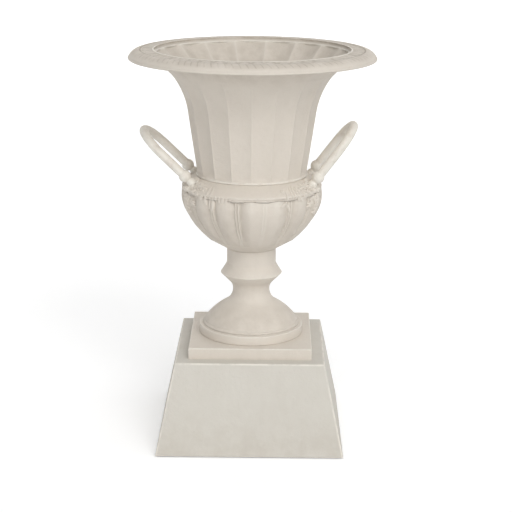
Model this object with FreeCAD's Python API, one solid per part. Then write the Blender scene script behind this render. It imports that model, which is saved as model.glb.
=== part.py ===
import FreeCAD, Part
import math
import os

# Footed garden urn of cast metal on a tapered pedestal: a fluted bell with a wide lip, a gadrooned bowl
# with two upswept loop handles, a turned stem on a round foot, a square plate and a hollow pedestal.
# Millimetres, +Z up. The origin is on the floor, under the middle of the pedestal. The handles lie on X.

V = FreeCAD.Vector
AXIS = V(0, 0, 1)

# ---------------------------------------------------------------- driving dimensions
# Pedestal: a four-sided shell, open below, on four rubber pads
pad_diameter = 24.0
pad_height = 2.5
pad_inset = 22.0             # pad centre in from the pedestal's bottom edges
pedestal_width = 360.0       # across its bottom edges
pedestal_ledge = 24.5        # width of its top left round the square plate
pedestal_height = 175.0
pedestal_wall = 5.0
pedestal_deck = 8.0
pedestal_edge = 2.0          # rounding of the outer edges
corner_block_leg = 52.0
corner_block_height = 14.0

# Square plate between pedestal and foot
plate_side = 237.0
plate_thickness = 22.0
plate_edge = 1.5
drain_opening = 60.0         # round opening through plate and pedestal deck

# Stem casting: foot ring, dome, waist, collar and neck, cored right through
foot_radius = 102.0
foot_ring_height = 18.0
foot_ledge = 7.0             # width of the ring's top left round the fillet under the dome
foot_fillet_height = 3.0
dome_top_radius = 52.0
dome_top_height = 61.0
dome_bulge = 3.7
waist_radius = 36.0
waist_height = 88.0
scotia_radius = 22.0
collar_radius = 60.3
collar_round = 3.0
neck_radius = 48.0
neck_height = 141.0          # where the slope above the collar meets the neck
stem_height = 172.0
stem_core_radius = 36.0
stem_wall = 6.5              # metal left round the core at the waist

# Bowl casting: smooth underside, gadroon lobes, rolled shoulder, inner flange
bowl_height = 145.0
bowl_floor = 10.0
weep_hole_diameter = 9.0     # drains through the bowl's floor into the stem's core
weep_hole_count = 2
weep_circle_radius = 22.0
bowl_wall = 6.0
bowl_foot_step = 4.0         # flare of the bowl's underside off the neck, over the next height
bowl_foot_height = 2.0
lobe_foot_radius = 86.0
lobe_foot_height = 22.0
bowl_radius = 136.6
bowl_widest_drop = 41.0      # widest ring below the bowl's top
bowl_curve = 1.6             # power of the curve from the lobes' foot to the widest ring
lobe_count = 16
lobe_depth = 7.0
lobe_top_drop = 24.0         # lobes' tops below the bowl's top
lobe_top_inset = 2.1
lobe_lean_up = 1.3           # over 1 puts the deepest valleys nearer the lobes' tops
lobe_fullness = 0.6          # under 1 keeps the valleys deep for longer
shoulder_inset = 1.1         # shoulder's low edge, roll and high edge inside the widest ring
shoulder_roll_inset = 3.0
shoulder_top_inset = 11.1
shoulder_roll_drop = 13.0
shoulder_top_drop = 5.5
bowl_ring_margin = 2.0       # flat ring of the bowl's top left round the bell's foot
flange_bore_radius = 82.3
flange_thickness = 6.0

# Bell casting: fluted cone, flare and lip
bell_height = 243.0
bell_wall = 5.5
bell_foot_radius = 105.5
bell_bead = 2.6              # radius of the bead round the bell's foot
bell_lean = 8.4              # slope of the straight part, degrees off upright
flare_radius = 150.0
flare_angle = 35.0
upper_flare_radius = 60.0
upper_flare_angle = 45.0
bell_neck_length = 25.0      # straight run above the flare, up to the lip
bell_neck_drop = 28.2        # end of that run below the top
flute_count = 18
flute_depth = 3.6
scoop_depth = 2.4            # hollow of the flutes on the inside
spigot_height = 5.0
spigot_wall = 4.0
spigot_clearance = 0.3
lip_radius = 236.3
lip_bead_radius = 4.8
lip_bead_height = 18.0       # bead's centre below the top
ridge_radius = 211.0
lip_inner_radius = 186.5
lip_step = 6.5               # height of the plain band inside the mouth
lip_hollow_radius = 203.0
lip_hollow_bulge = 3.9       # rise of the hollow under the lip off its chord
ovolo_bulge = 4.6            # rise of the lip's rounded face off its chord
lip_thickness = 14.0
mouth_radius = 181.0         # top of the fluted inside

# Handles: round bar loops with two balls on each leg
handle_bar = 16.8
handle_spacing = 109.0
handle_length = 113.0        # from the large balls to the middle of the loop's end
handle_root_inset = 9.9      # large balls' centres inside the bowl's widest ring
handle_root_rise = 6.2       # and above the bowl's top
left_handle_angle = 44.0     # slopes of the two loops above level, as they were set
right_handle_angle = 53.0
large_ball = 23.5
small_ball = 17.0
small_ball_offset = 17.0
ball_neck = 13.0
handle_foot_depth = 22.0     # seat below the large ball's centre
seat_clearance = 0.3
seat_boss_diameter = 24.0
seat_boss_start = 24.0
seat_boss_end = 38.0

# Fasteners
thread_clearance = 0.05
hole_clearance = 0.3         # between a screw or rod and its plain hole, on the radius
washer_thickness = 1.6
handle_screw_diameter = 6.0
handle_screw_reach = 12.5    # length inside the handle
handle_screw_flats = 10.0
handle_screw_head = 4.0
handle_washer_diameter = 12.0
flange_screw_count = 6
flange_screw_diameter = 6.0
flange_screw_flats = 10.0
flange_screw_head = 4.0
flange_screw_tail = 2.5
flange_nut_height = 5.0
flange_washer_diameter = 12.0
plate_screw_inset = 33.5     # screw centres in from the plate's edges
plate_screw_diameter = 8.0
plate_screw_reach = 14.0
plate_screw_flats = 13.0
plate_screw_head = 5.3
plate_washer_diameter = 16.0
tapped_hole_spare = 2.0
tie_rod_diameter = 12.0
tie_rod_tail = 5.0
tie_nut_flats = 18.0
tie_nut_height = 10.0
tie_washer_diameter = 32.0
tie_washer_thickness = 2.5
seal_diameter = 34.0
seal_thickness = 3.0
clamp_bar_length = 150.0
clamp_bar_width = 36.0
clamp_bar_thickness = 8.0

# Sections that the lofted surfaces pass through, and the reach of the cutting tools
bell_section_count = 4       # on the straight part, and again on the flare
lobe_section_count = 9
hollow_section_count = 5
slope_step = 1.0             # half the height over which the bowl's slope is measured
cut_overrun = 1.0            # how far a tool runs past the face it cuts

# ---------------------------------------------------------------- levels and places worked out
pedestal_z = pad_height
deck_z = pedestal_z + pedestal_height
plate_z = deck_z
foot_z = plate_z + plate_thickness
bowl_z = foot_z + stem_height
bell_z = bowl_z + bowl_height
clamp_z = deck_z - pedestal_deck - clamp_bar_thickness
pedestal_top_width = plate_side + 2 * pedestal_ledge
plate_screw_spacing = plate_side - 2 * plate_screw_inset
dome_base_radius = foot_radius - foot_ledge
dome_base_height = foot_ring_height + foot_fillet_height
bowl_foot_radius = neck_radius + bowl_foot_step
bowl_widest_height = bowl_height - bowl_widest_drop
lobe_top_height = bowl_height - lobe_top_drop
shoulder_radius = bowl_radius - shoulder_inset
shoulder_roll_radius = bowl_radius - shoulder_roll_inset
shoulder_roll_height = bowl_height - shoulder_roll_drop
shoulder_top_radius = bowl_radius - shoulder_top_inset
shoulder_top_height = bowl_height - shoulder_top_drop
bowl_ring_radius = bell_foot_radius + bowl_ring_margin
bell_inset = bell_wall + flute_depth
flange_screw_circle = (flange_bore_radius + bell_foot_radius - bell_inset) / 2
handle_angles = {"left": left_handle_angle, "right": right_handle_angle}
handle_root_x = bowl_radius - handle_root_inset
handle_root_height = bowl_height + handle_root_rise
tie_rod_hole = tie_rod_diameter / 2 + hole_clearance
spigot_radius = flange_bore_radius - spigot_clearance


# ---------------------------------------------------------------- helpers
def point(radius, height):
    return V(radius, 0, height)


def line(start, end):
    return Part.makeLine(start, end)


def arc(start, middle, end):
    return Part.Arc(start, middle, end).toShape()


def bulged(start, end, bulge):
    """Arc between two outline points that stands off its chord, to the left of the way it runs."""
    way = end - start
    off = V(-way.z, 0, way.x) * (bulge / way.Length)
    return arc(start, (start + end) * 0.5 + off, end)


def polar(radius, angle, height):
    return V(radius * math.cos(angle), radius * math.sin(angle), height)


def turned(edges):
    """Solid of revolution of a closed outline in the XZ plane."""
    return Part.Face(Part.Wire(edges)).revolve(V(0, 0, 0), AXIS, 360)


def turned_polygon(corners):
    closed = corners + [corners[0]]
    return Part.Face(Part.makePolygon(closed)).revolve(V(0, 0, 0), AXIS, 360)


def disc(radius, bottom, top):
    return Part.makeCylinder(radius, top - bottom, V(0, 0, bottom))


def ring(outer, inner, bottom, top):
    return disc(outer, bottom, top).cut(disc(inner, bottom - cut_overrun, top + cut_overrun))


def scalloped_wire(corner_radius, middle_radius, count, height, first_corner):
    """Ring of equal arcs: they meet at the corner radius and pass through the middle radius."""
    step = 2 * math.pi / count
    edges = []
    for index in range(count):
        start = first_corner + index * step
        edges.append(arc(polar(corner_radius, start, height),
                         polar(middle_radius, start + step / 2, height),
                         polar(corner_radius, start + step, height)))
    return Part.Wire(edges)


def hexagon(flats, bottom, height):
    corner = flats / math.sqrt(3)
    corners = [polar(corner, math.radians(60 * index), bottom) for index in range(7)]
    return Part.Face(Part.makePolygon(corners)).extrude(V(0, 0, height))


def washer(outer_diameter, bore_radius, bottom, thickness):
    return ring(outer_diameter / 2, bore_radius, bottom, bottom + thickness)


def nut(flats, bore_radius, bottom, height):
    body = hexagon(flats, bottom, height)
    return body.cut(disc(bore_radius, bottom - cut_overrun, bottom + height + cut_overrun))


def screw_up(diameter, length, flats, head, seat):
    """Hexagon screw whose head hangs under the seat height and whose shank points up."""
    return disc(diameter / 2, seat, seat + length).fuse(hexagon(flats, seat - head, head))


def screw_down(diameter, length, flats, head, seat):
    return disc(diameter / 2, seat - length, seat).fuse(hexagon(flats, seat, head))


def placed(shape, place, turn_axis=AXIS, degrees=0.0):
    copy = shape.copy()
    copy.rotate(V(0, 0, 0), turn_axis, degrees)
    copy.translate(place)
    return copy


def around(shape, radius, count):
    step = 360.0 / count
    return [placed(placed(shape, V(radius, 0, 0)), V(0, 0, 0), AXIS, step * index) for index in range(count)]


def at_corners(shape, reach):
    return [placed(shape, V(sx * reach, sy * reach, 0)) for sx in (-1, 1) for sy in (-1, 1)]


def save(node, solids):
    """Write one node: a single solid, or a group of separate ones."""
    solids = solids if isinstance(solids, list) else [solids]
    cleaned = [solid.removeSplitter() for solid in solids]
    for solid in cleaned:
        if not solid.isValid() or len(solid.Solids) != 1:
            raise ValueError(node + " is not one valid solid")
    shape = cleaned[0].Solids[0] if len(cleaned) == 1 else Part.makeCompound([s.Solids[0] for s in cleaned])
    shape.exportStep("parts/" + node + ".step")
    print(node, len(cleaned), "solid(s)", round(sum(s.Volume for s in cleaned) / 1000.0, 1), "cm3")


# ---------------------------------------------------------------- pedestal, pads and plate
def square_wire(side, height):
    half = side / 2
    corners = [V(-half, -half, height), V(half, -half, height),
               V(half, half, height), V(-half, half, height)]
    return Part.makePolygon(corners + [corners[0]])


def frustum(bottom_side, top_side, bottom, top):
    return Part.makeLoft([square_wire(bottom_side, bottom), square_wire(top_side, top)], True, True)


def pedestal_side(height):
    """Outer side of the pedestal at a height above its bottom edge."""
    return pedestal_width + (pedestal_top_width - pedestal_width) * height / pedestal_height


def pedestal():
    outer = frustum(pedestal_width, pedestal_top_width, pedestal_z, deck_z)
    rounded = [e for e in outer.Edges if e.CenterOfMass.z > pedestal_z + pedestal_edge]
    outer = outer.makeFillet(pedestal_edge, rounded)
    ceiling = pedestal_height - pedestal_deck
    hollow = frustum(pedestal_width - 2 * pedestal_wall, pedestal_side(ceiling) - 2 * pedestal_wall,
                     pedestal_z, pedestal_z + ceiling)
    shell = outer.cut(hollow)
    inner_half = pedestal_width / 2 - pedestal_wall
    for quarter in range(4):
        corner = V(inner_half + cut_overrun, inner_half + cut_overrun, pedestal_z)
        triangle = Part.makePolygon([corner, corner - V(corner_block_leg, 0, 0),
                                     corner - V(0, corner_block_leg, 0), corner])
        block = Part.Face(triangle).extrude(V(0, 0, corner_block_height))
        block = block.common(frustum(pedestal_width - pedestal_wall, pedestal_top_width - pedestal_wall,
                                     pedestal_z, deck_z))
        shell = shell.fuse(placed(block, V(0, 0, 0), AXIS, 90.0 * quarter))
    deck_start = deck_z - pedestal_deck - cut_overrun
    deck_end = deck_z + cut_overrun
    shell = shell.cut(disc(drain_opening / 2, deck_start, deck_end))
    plain_hole = disc(plate_screw_diameter / 2 + hole_clearance, deck_start, deck_end)
    for hole in at_corners(plain_hole, plate_screw_spacing / 2):
        shell = shell.cut(hole)
    return shell


def pedestal_pads():
    return at_corners(disc(pad_diameter / 2, 0, pad_height), pedestal_width / 2 - pad_inset)


def plinth_plate():
    half = plate_side / 2
    plate = Part.makeBox(plate_side, plate_side, plate_thickness, V(-half, -half, plate_z))
    rounded = [e for e in plate.Edges if e.CenterOfMass.z > plate_z + plate_edge]
    plate = plate.makeFillet(plate_edge, rounded)
    plate = plate.cut(disc(drain_opening / 2, plate_z - cut_overrun, foot_z + cut_overrun))
    tapped_depth = plate_screw_reach + tapped_hole_spare
    tapped = disc(plate_screw_diameter / 2 + thread_clearance, plate_z - cut_overrun, plate_z + tapped_depth)
    for hole in at_corners(tapped, plate_screw_spacing / 2):
        plate = plate.cut(hole)
    return plate


def plate_screws():
    seat = deck_z - pedestal_deck - washer_thickness
    length = washer_thickness + pedestal_deck + plate_screw_reach
    screw = screw_up(plate_screw_diameter, length, plate_screw_flats, plate_screw_head, seat)
    return at_corners(screw, plate_screw_spacing / 2)


def plate_screw_washers():
    plain = washer(plate_washer_diameter, plate_screw_diameter / 2 + hole_clearance,
                   deck_z - pedestal_deck - washer_thickness, washer_thickness)
    return at_corners(plain, plate_screw_spacing / 2)


# ---------------------------------------------------------------- stem
def waist_arc(top_radius, top_height, waist, height):
    """Hollow arc from a point on the dome up to the waist, upright where it ends."""
    across = top_radius - waist
    rise = height - top_height
    radius = (across ** 2 + rise ** 2) / (2 * across)
    half_turn = math.asin(rise / radius) / 2
    middle = point(waist + radius * (1 - math.cos(half_turn)), height - radius * math.sin(half_turn))
    return arc(point(top_radius, top_height), middle, point(waist, height))


def scotia_end():
    slope = math.sqrt(0.5)
    return (waist_radius + scotia_radius * (1 - slope), waist_height + scotia_radius * slope)


def stem_outline():
    scotia_radius_end, scotia_height_end = scotia_end()
    quarter = math.radians(22.5)
    scotia_middle = point(waist_radius + scotia_radius * (1 - math.cos(quarter)),
                          waist_height + scotia_radius * math.sin(quarter))
    collar_edge = collar_radius - collar_round / 2
    collar_height = scotia_height_end + collar_edge - scotia_radius_end + collar_round / 2
    below = point(collar_edge, collar_height - collar_round / 2)
    above = point(collar_edge, collar_height + collar_round / 2)
    return [line(point(0, 0), point(foot_radius, 0)),
            line(point(foot_radius, 0), point(foot_radius, foot_ring_height)),
            line(point(foot_radius, foot_ring_height), point(dome_base_radius, foot_ring_height)),
            line(point(dome_base_radius, foot_ring_height), point(dome_base_radius, dome_base_height)),
            bulged(point(dome_base_radius, dome_base_height), point(dome_top_radius, dome_top_height),
                   -dome_bulge),
            waist_arc(dome_top_radius, dome_top_height, waist_radius, waist_height),
            arc(point(waist_radius, waist_height), scotia_middle,
                point(scotia_radius_end, scotia_height_end)),
            line(point(scotia_radius_end, scotia_height_end), below),
            arc(below, point(collar_radius, collar_height), above),
            line(above, point(neck_radius, neck_height)),
            line(point(neck_radius, neck_height), point(neck_radius, stem_height)),
            line(point(neck_radius, stem_height), point(0, stem_height)),
            line(point(0, stem_height), point(0, 0))]


def stem_core():
    """Core hole up the middle, narrower at the waist, open at the foot and at the neck's top."""
    scotia_radius_end, scotia_height_end = scotia_end()
    waist = waist_radius - stem_wall
    step = stem_core_radius - waist
    narrow_start = dome_top_height
    narrow_end = scotia_height_end
    return turned_polygon([point(0, -cut_overrun), point(stem_core_radius, -cut_overrun),
                           point(stem_core_radius, narrow_start - step),
                           point(waist, narrow_start), point(waist, narrow_end),
                           point(stem_core_radius, narrow_end + step),
                           point(stem_core_radius, stem_height + cut_overrun),
                           point(0, stem_height + cut_overrun)])


def stem():
    return placed(turned(stem_outline()).cut(stem_core()), V(0, 0, foot_z))


# ---------------------------------------------------------------- bowl
def bowl_crest(height):
    """Outer radius over the lobes' crests, at a height above the bowl's foot."""
    if height <= bowl_widest_height:
        share = (bowl_widest_height - height) / (bowl_widest_height - lobe_foot_height)
        return bowl_radius - (bowl_radius - lobe_foot_radius) * share ** bowl_curve
    share = (height - bowl_widest_height) / (lobe_top_height - bowl_widest_height)
    return bowl_radius - lobe_top_inset * share ** 2


def lobe_hollow(height):
    """Depth of the valleys between the lobes: none at their foot, and none at their rounded tops."""
    share = (height - lobe_foot_height) / (lobe_top_height - lobe_foot_height)
    return lobe_depth * max(math.sin(math.pi * share ** lobe_lean_up), 0.0) ** lobe_fullness


def lobe_heights(count):
    span = lobe_top_height - lobe_foot_height
    return [lobe_foot_height + span * math.sin(math.pi / 2 * index / count) for index in range(count + 1)]


def lobed_body():
    first_valley = math.pi / lobe_count
    sections = [scalloped_wire(bowl_crest(h) - lobe_hollow(h), bowl_crest(h), lobe_count, h, first_valley)
                for h in lobe_heights(lobe_section_count)]
    return Part.makeLoft(sections, True, False)


def bowl_underside():
    return turned_polygon([point(0, 0), point(neck_radius, 0), point(bowl_foot_radius, bowl_foot_height),
                           point(lobe_foot_radius, lobe_foot_height), point(0, lobe_foot_height)])


def shoulder_body():
    low = point(shoulder_radius, lobe_top_height)
    roll = point(shoulder_roll_radius, shoulder_roll_height)
    high = point(shoulder_top_radius, shoulder_top_height)
    brim = point(bowl_ring_radius, bowl_height)
    return turned([line(point(0, lobe_top_height), low), arc(low, roll, high), line(high, brim),
                   line(brim, point(0, bowl_height)),
                   line(point(0, bowl_height), point(0, lobe_top_height))])


def bowl_hollow():
    """Smooth inside of the bowl, from the floor up to the underside of the flange."""
    inset = bowl_wall + lobe_depth
    floor_radius = bowl_foot_radius - bowl_wall
    heights = lobe_heights(hollow_section_count)[:-1]
    points = [point(floor_radius, bowl_floor)]
    for height in heights:
        slope = math.atan2(bowl_crest(height + slope_step) - bowl_crest(height - slope_step), 2 * slope_step)
        points.append(point(bowl_crest(height) - inset * math.cos(slope), height + inset * math.sin(slope)))
    flange_bottom = bowl_height - flange_thickness
    points.append(point(shoulder_top_radius - bowl_wall, flange_bottom - bowl_wall))
    curve = Part.BSplineCurve()
    curve.interpolate(points)
    top = point(shoulder_top_radius - 2 * bowl_wall, flange_bottom)
    return turned([line(point(0, bowl_floor), points[0]), curve.toShape(), line(points[-1], top),
                   line(top, point(0, flange_bottom)), line(point(0, flange_bottom), point(0, bowl_floor))])


def leg_places(side):
    """Frames of one handle's two legs: root point and outward direction, in the bowl's frame."""
    sign = -1 if side == "left" else 1
    lean = math.radians(handle_angles[side])
    direction = V(sign * math.cos(lean), 0, math.sin(lean))
    roots = [V(sign * handle_root_x, y * handle_spacing / 2, handle_root_height) for y in (-1, 1)]
    return [(root, direction) for root in roots]


def along(root, direction, radius, start, end):
    """Cylinder on a leg's line between two distances from the large ball's centre."""
    return Part.makeCylinder(radius, end - start, root + direction * start, direction)


def all_legs():
    return [leg for side in handle_angles for leg in leg_places(side)]


def bowl():
    casting = bowl_underside().fuse([lobed_body(), shoulder_body()])
    casting = casting.cut(bowl_hollow())
    flange_start = bowl_height - flange_thickness - cut_overrun
    flange_end = bowl_height + cut_overrun
    casting = casting.cut(disc(flange_bore_radius, flange_start, flange_end))
    for root, direction in all_legs():
        boss = along(root, direction, seat_boss_diameter / 2, -seat_boss_end, -seat_boss_start)
        casting = casting.fuse(boss)
    for root, direction in all_legs():
        recess = along(root, direction, small_ball / 2 + seat_clearance, -handle_foot_depth, 0)
        hole = along(root, direction, handle_screw_diameter / 2 + hole_clearance,
                     -seat_boss_end - cut_overrun, 0)
        casting = casting.cut(recess.fuse(hole))
    casting = casting.cut(disc(tie_rod_hole, -cut_overrun, bowl_floor + cut_overrun))
    weep_hole = disc(weep_hole_diameter / 2, -cut_overrun, bowl_floor + cut_overrun)
    for hole in around(weep_hole, weep_circle_radius, weep_hole_count):
        casting = casting.cut(hole)
    flange_hole = disc(flange_screw_diameter / 2 + hole_clearance, flange_start, flange_end)
    for hole in around(flange_hole, flange_screw_circle, flange_screw_count):
        casting = casting.cut(hole)
    return placed(casting, V(0, 0, bowl_z))


# ---------------------------------------------------------------- bell
def flare_point(radius_start, height_start, radius, start_angle, angle):
    """Point on an arc that leaves a start point at one slope and has turned to another."""
    return (radius_start + radius * (math.cos(start_angle) - math.cos(angle)),
            height_start + radius * (math.sin(angle) - math.sin(start_angle)))


def bell_profile(steps):
    """Radius, height and slope off upright along the bell's arrises, from foot to lip."""
    lean = math.radians(bell_lean)
    flare = math.radians(flare_angle)
    upper = math.radians(upper_flare_angle)
    flare_rise = (flare_radius * (math.sin(flare) - math.sin(lean))
                  + upper_flare_radius * (math.sin(upper) - math.sin(flare))
                  + bell_neck_length * math.cos(upper))
    straight_height = bell_height - bell_neck_drop - flare_rise
    points = []
    for index in range(steps):
        height = straight_height * index / steps
        points.append((bell_foot_radius + height * math.tan(lean), height, lean))
    start = (bell_foot_radius + straight_height * math.tan(lean), straight_height)
    for index in range(steps):
        angle = lean + (flare - lean) * index / steps
        points.append(flare_point(*start, flare_radius, lean, angle) + (angle,))
    middle = flare_point(*start, flare_radius, lean, flare)
    points.append(middle + (flare,))
    top = flare_point(*middle, upper_flare_radius, flare, upper)
    points.append(top + (upper,))
    points.append((top[0] + bell_neck_length * math.sin(upper),
                   top[1] + bell_neck_length * math.cos(upper), upper))
    return points


def flute_share(slope):
    """The flutes are full on the cone and run out along the flare."""
    lean = math.radians(bell_lean)
    upper = math.radians(upper_flare_angle)
    return 1.0 - ((slope - lean) / (upper - lean)) ** 3


def fluted_body(profile):
    sections = []
    for radius, height, slope in profile:
        hollow = flute_depth * flute_share(slope)
        sections.append(scalloped_wire(radius, radius - hollow, flute_count, height, -math.pi / 2))
    return Part.makeLoft(sections, True, False)


def lip_body(profile):
    """Solid disc of the lip, from the end of the flared wall up to the mouth."""
    wall_radius, wall_height, _ = profile[-1]
    bead_height = bell_height - lip_bead_height
    bead_centre = lip_radius - lip_bead_radius
    start = point(wall_radius, wall_height)
    hollow = point(lip_hollow_radius, bell_height - lip_thickness)
    bead_in = point(bead_centre - lip_bead_radius, bead_height)
    bead_low = point(bead_centre, bead_height - lip_bead_radius)
    bead_out = point(lip_radius, bead_height)
    ovolo_low = point(lip_radius - lip_bead_radius / 2, bead_height + lip_bead_radius)
    ridge = point(ridge_radius, bell_height)
    return turned([line(point(0, wall_height), start),
                   bulged(start, hollow, lip_hollow_bulge), line(hollow, bead_in),
                   arc(bead_in, bead_low, bead_out), line(bead_out, ovolo_low),
                   bulged(ovolo_low, ridge, -ovolo_bulge), line(ridge, point(0, bell_height)),
                   line(point(0, bell_height), point(0, wall_height))])


def bell_hollow(profile):
    """Inside of the bell: shallow scoops that back the flutes, up to the plain band in the mouth."""
    first_cusp = -math.pi / 2 + math.pi / flute_count
    step_height = bell_height - lip_step
    sections = []
    for radius, height, slope in profile:
        cusp = radius - bell_inset * math.cos(slope)
        level = height + bell_inset * math.sin(slope)
        if level > flange_thickness:
            sections.append(scalloped_wire(cusp, cusp + scoop_depth, flute_count, level, first_cusp))
    foot_cusp = bell_foot_radius - bell_inset
    foot = scalloped_wire(foot_cusp, foot_cusp + scoop_depth, flute_count, flange_thickness, first_cusp)
    mouth = scalloped_wire(mouth_radius, mouth_radius + scoop_depth / 2, flute_count, step_height,
                           first_cusp)
    inside = Part.makeLoft([foot] + sections + [mouth], True, False)
    return inside.fuse(disc(lip_inner_radius, step_height, bell_height + cut_overrun))


def bell():
    profile = bell_profile(bell_section_count)
    bead = Part.makeTorus(bell_foot_radius, bell_bead, V(0, 0, bell_bead))
    casting = fluted_body(profile).fuse([lip_body(profile), bead])
    casting = casting.cut(bell_hollow(profile))
    casting = casting.fuse(disc(spigot_radius, -spigot_height, flange_thickness / 2))
    casting = casting.cut(disc(spigot_radius - spigot_wall, -spigot_height - cut_overrun,
                               flange_thickness + cut_overrun))
    hole = disc(flange_screw_diameter / 2 + hole_clearance, -cut_overrun, flange_thickness + cut_overrun)
    for each in around(hole, flange_screw_circle, flange_screw_count):
        casting = casting.cut(each)
    return placed(casting, V(0, 0, bell_z))


# ---------------------------------------------------------------- flange screws
def flange_screws():
    seat = bell_z + flange_thickness + washer_thickness
    length = 2 * flange_thickness + 2 * washer_thickness + flange_nut_height + flange_screw_tail
    screw = screw_down(flange_screw_diameter, length, flange_screw_flats, flange_screw_head, seat)
    return around(screw, flange_screw_circle, flange_screw_count)


def flange_washers():
    bore = flange_screw_diameter / 2 + hole_clearance
    upper = washer(flange_washer_diameter, bore, bell_z + flange_thickness, washer_thickness)
    lower = washer(flange_washer_diameter, bore, bell_z - flange_thickness - washer_thickness,
                   washer_thickness)
    return (around(upper, flange_screw_circle, flange_screw_count)
            + around(lower, flange_screw_circle, flange_screw_count))


def flange_nuts():
    top = bell_z - flange_thickness - washer_thickness
    plain = nut(flange_screw_flats, flange_screw_diameter / 2 + thread_clearance,
                top - flange_nut_height, flange_nut_height)
    return around(plain, flange_screw_circle, flange_screw_count)


# ---------------------------------------------------------------- handles
def handle(side):
    """Loop of round bar: two legs, a half-round end, and two balls on each leg."""
    bar = handle_bar / 2
    bend = handle_spacing / 2
    legs = leg_places(side)
    direction = legs[0][1]
    centre = (legs[0][0] + legs[1][0]) * 0.5 + direction * (handle_length - bend)
    normal = direction.cross(V(0, 1, 0))
    end = Part.makeTorus(bend, bar, centre, normal)
    keep = along(centre, direction, bend + handle_bar, 0, bend + handle_bar)
    solid = end.common(keep)
    for root, _ in legs:
        solid = solid.fuse(along(root, direction, bar, 0, handle_length - bend))
        solid = solid.fuse(Part.makeSphere(large_ball / 2, root))
        solid = solid.fuse(along(root, direction, ball_neck / 2, -small_ball_offset, 0))
        solid = solid.fuse(Part.makeSphere(small_ball / 2, root - direction * small_ball_offset))
        solid = solid.fuse(along(root, direction, small_ball / 2, -handle_foot_depth, -small_ball_offset))
    for root, _ in legs:
        solid = solid.cut(along(root, direction, small_ball, -2 * handle_foot_depth, -handle_foot_depth))
        tapped_end = -handle_foot_depth + handle_screw_reach + tapped_hole_spare
        solid = solid.cut(along(root, direction, handle_screw_diameter / 2 + thread_clearance,
                                -handle_foot_depth - cut_overrun, tapped_end))
    return placed(solid, V(0, 0, bowl_z))


def on_leg(shape, root, direction):
    """Put a shape made on the Z axis onto a leg's line, with its zero at the large ball's centre."""
    copy = shape.copy()
    copy.Placement = FreeCAD.Placement(root, FreeCAD.Rotation(AXIS, direction))
    copy.translate(V(0, 0, bowl_z))
    return copy


def handle_screws():
    seat = -seat_boss_end - washer_thickness
    length = handle_screw_reach - handle_foot_depth - seat
    screw = screw_up(handle_screw_diameter, length, handle_screw_flats, handle_screw_head, seat)
    return [on_leg(screw, root, direction) for root, direction in all_legs()]


def handle_screw_washers():
    plain = washer(handle_washer_diameter, handle_screw_diameter / 2 + hole_clearance,
                   -seat_boss_end - washer_thickness, washer_thickness)
    return [on_leg(plain, root, direction) for root, direction in all_legs()]


# ---------------------------------------------------------------- tie rod that clamps the stack
floor_z = bowl_z + bowl_floor
top_washer_z = floor_z + seal_thickness
top_nut_z = top_washer_z + tie_washer_thickness
bottom_washer_z = clamp_z - tie_washer_thickness
bottom_nut_z = bottom_washer_z - tie_nut_height


def tie_rod():
    return disc(tie_rod_diameter / 2, bottom_nut_z - tie_rod_tail, top_nut_z + tie_nut_height + tie_rod_tail)


def tie_rod_nut(bottom):
    return nut(tie_nut_flats, tie_rod_diameter / 2 + thread_clearance, bottom, tie_nut_height)


def tie_rod_washer(bottom):
    return washer(tie_washer_diameter, tie_rod_hole, bottom, tie_washer_thickness)


def tie_rod_seal():
    return washer(seal_diameter, tie_rod_hole, floor_z, seal_thickness)


def clamp_bar():
    bar = Part.makeBox(clamp_bar_width, clamp_bar_length, clamp_bar_thickness,
                       V(-clamp_bar_width / 2, -clamp_bar_length / 2, clamp_z))
    return bar.cut(disc(tie_rod_hole, clamp_z - cut_overrun, clamp_z + clamp_bar_thickness + cut_overrun))


# ---------------------------------------------------------------- build every node
os.makedirs("parts", exist_ok=True)
save("bell", bell())
save("bowl", bowl())
save("handle_left", handle("left"))
save("handle_right", handle("right"))
save("handle_screws", handle_screws())
save("handle_screw_washers", handle_screw_washers())
save("flange_screws", flange_screws())
save("flange_washers", flange_washers())
save("flange_nuts", flange_nuts())
save("stem", stem())
save("plinth_plate", plinth_plate())
save("pedestal", pedestal())
save("plate_screws", plate_screws())
save("plate_screw_washers", plate_screw_washers())
save("pedestal_pads", pedestal_pads())
save("clamp_bar", clamp_bar())
save("tie_rod", tie_rod())
save("tie_rod_top_nut", tie_rod_nut(top_nut_z))
save("tie_rod_top_washer", tie_rod_washer(top_washer_z))
save("tie_rod_seal", tie_rod_seal())
save("tie_rod_bottom_washer", tie_rod_washer(bottom_washer_z))
save("tie_rod_bottom_nut", tie_rod_nut(bottom_nut_z))
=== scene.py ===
import math

import bpy
import numpy as np
from mathutils import Matrix, Vector


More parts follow.
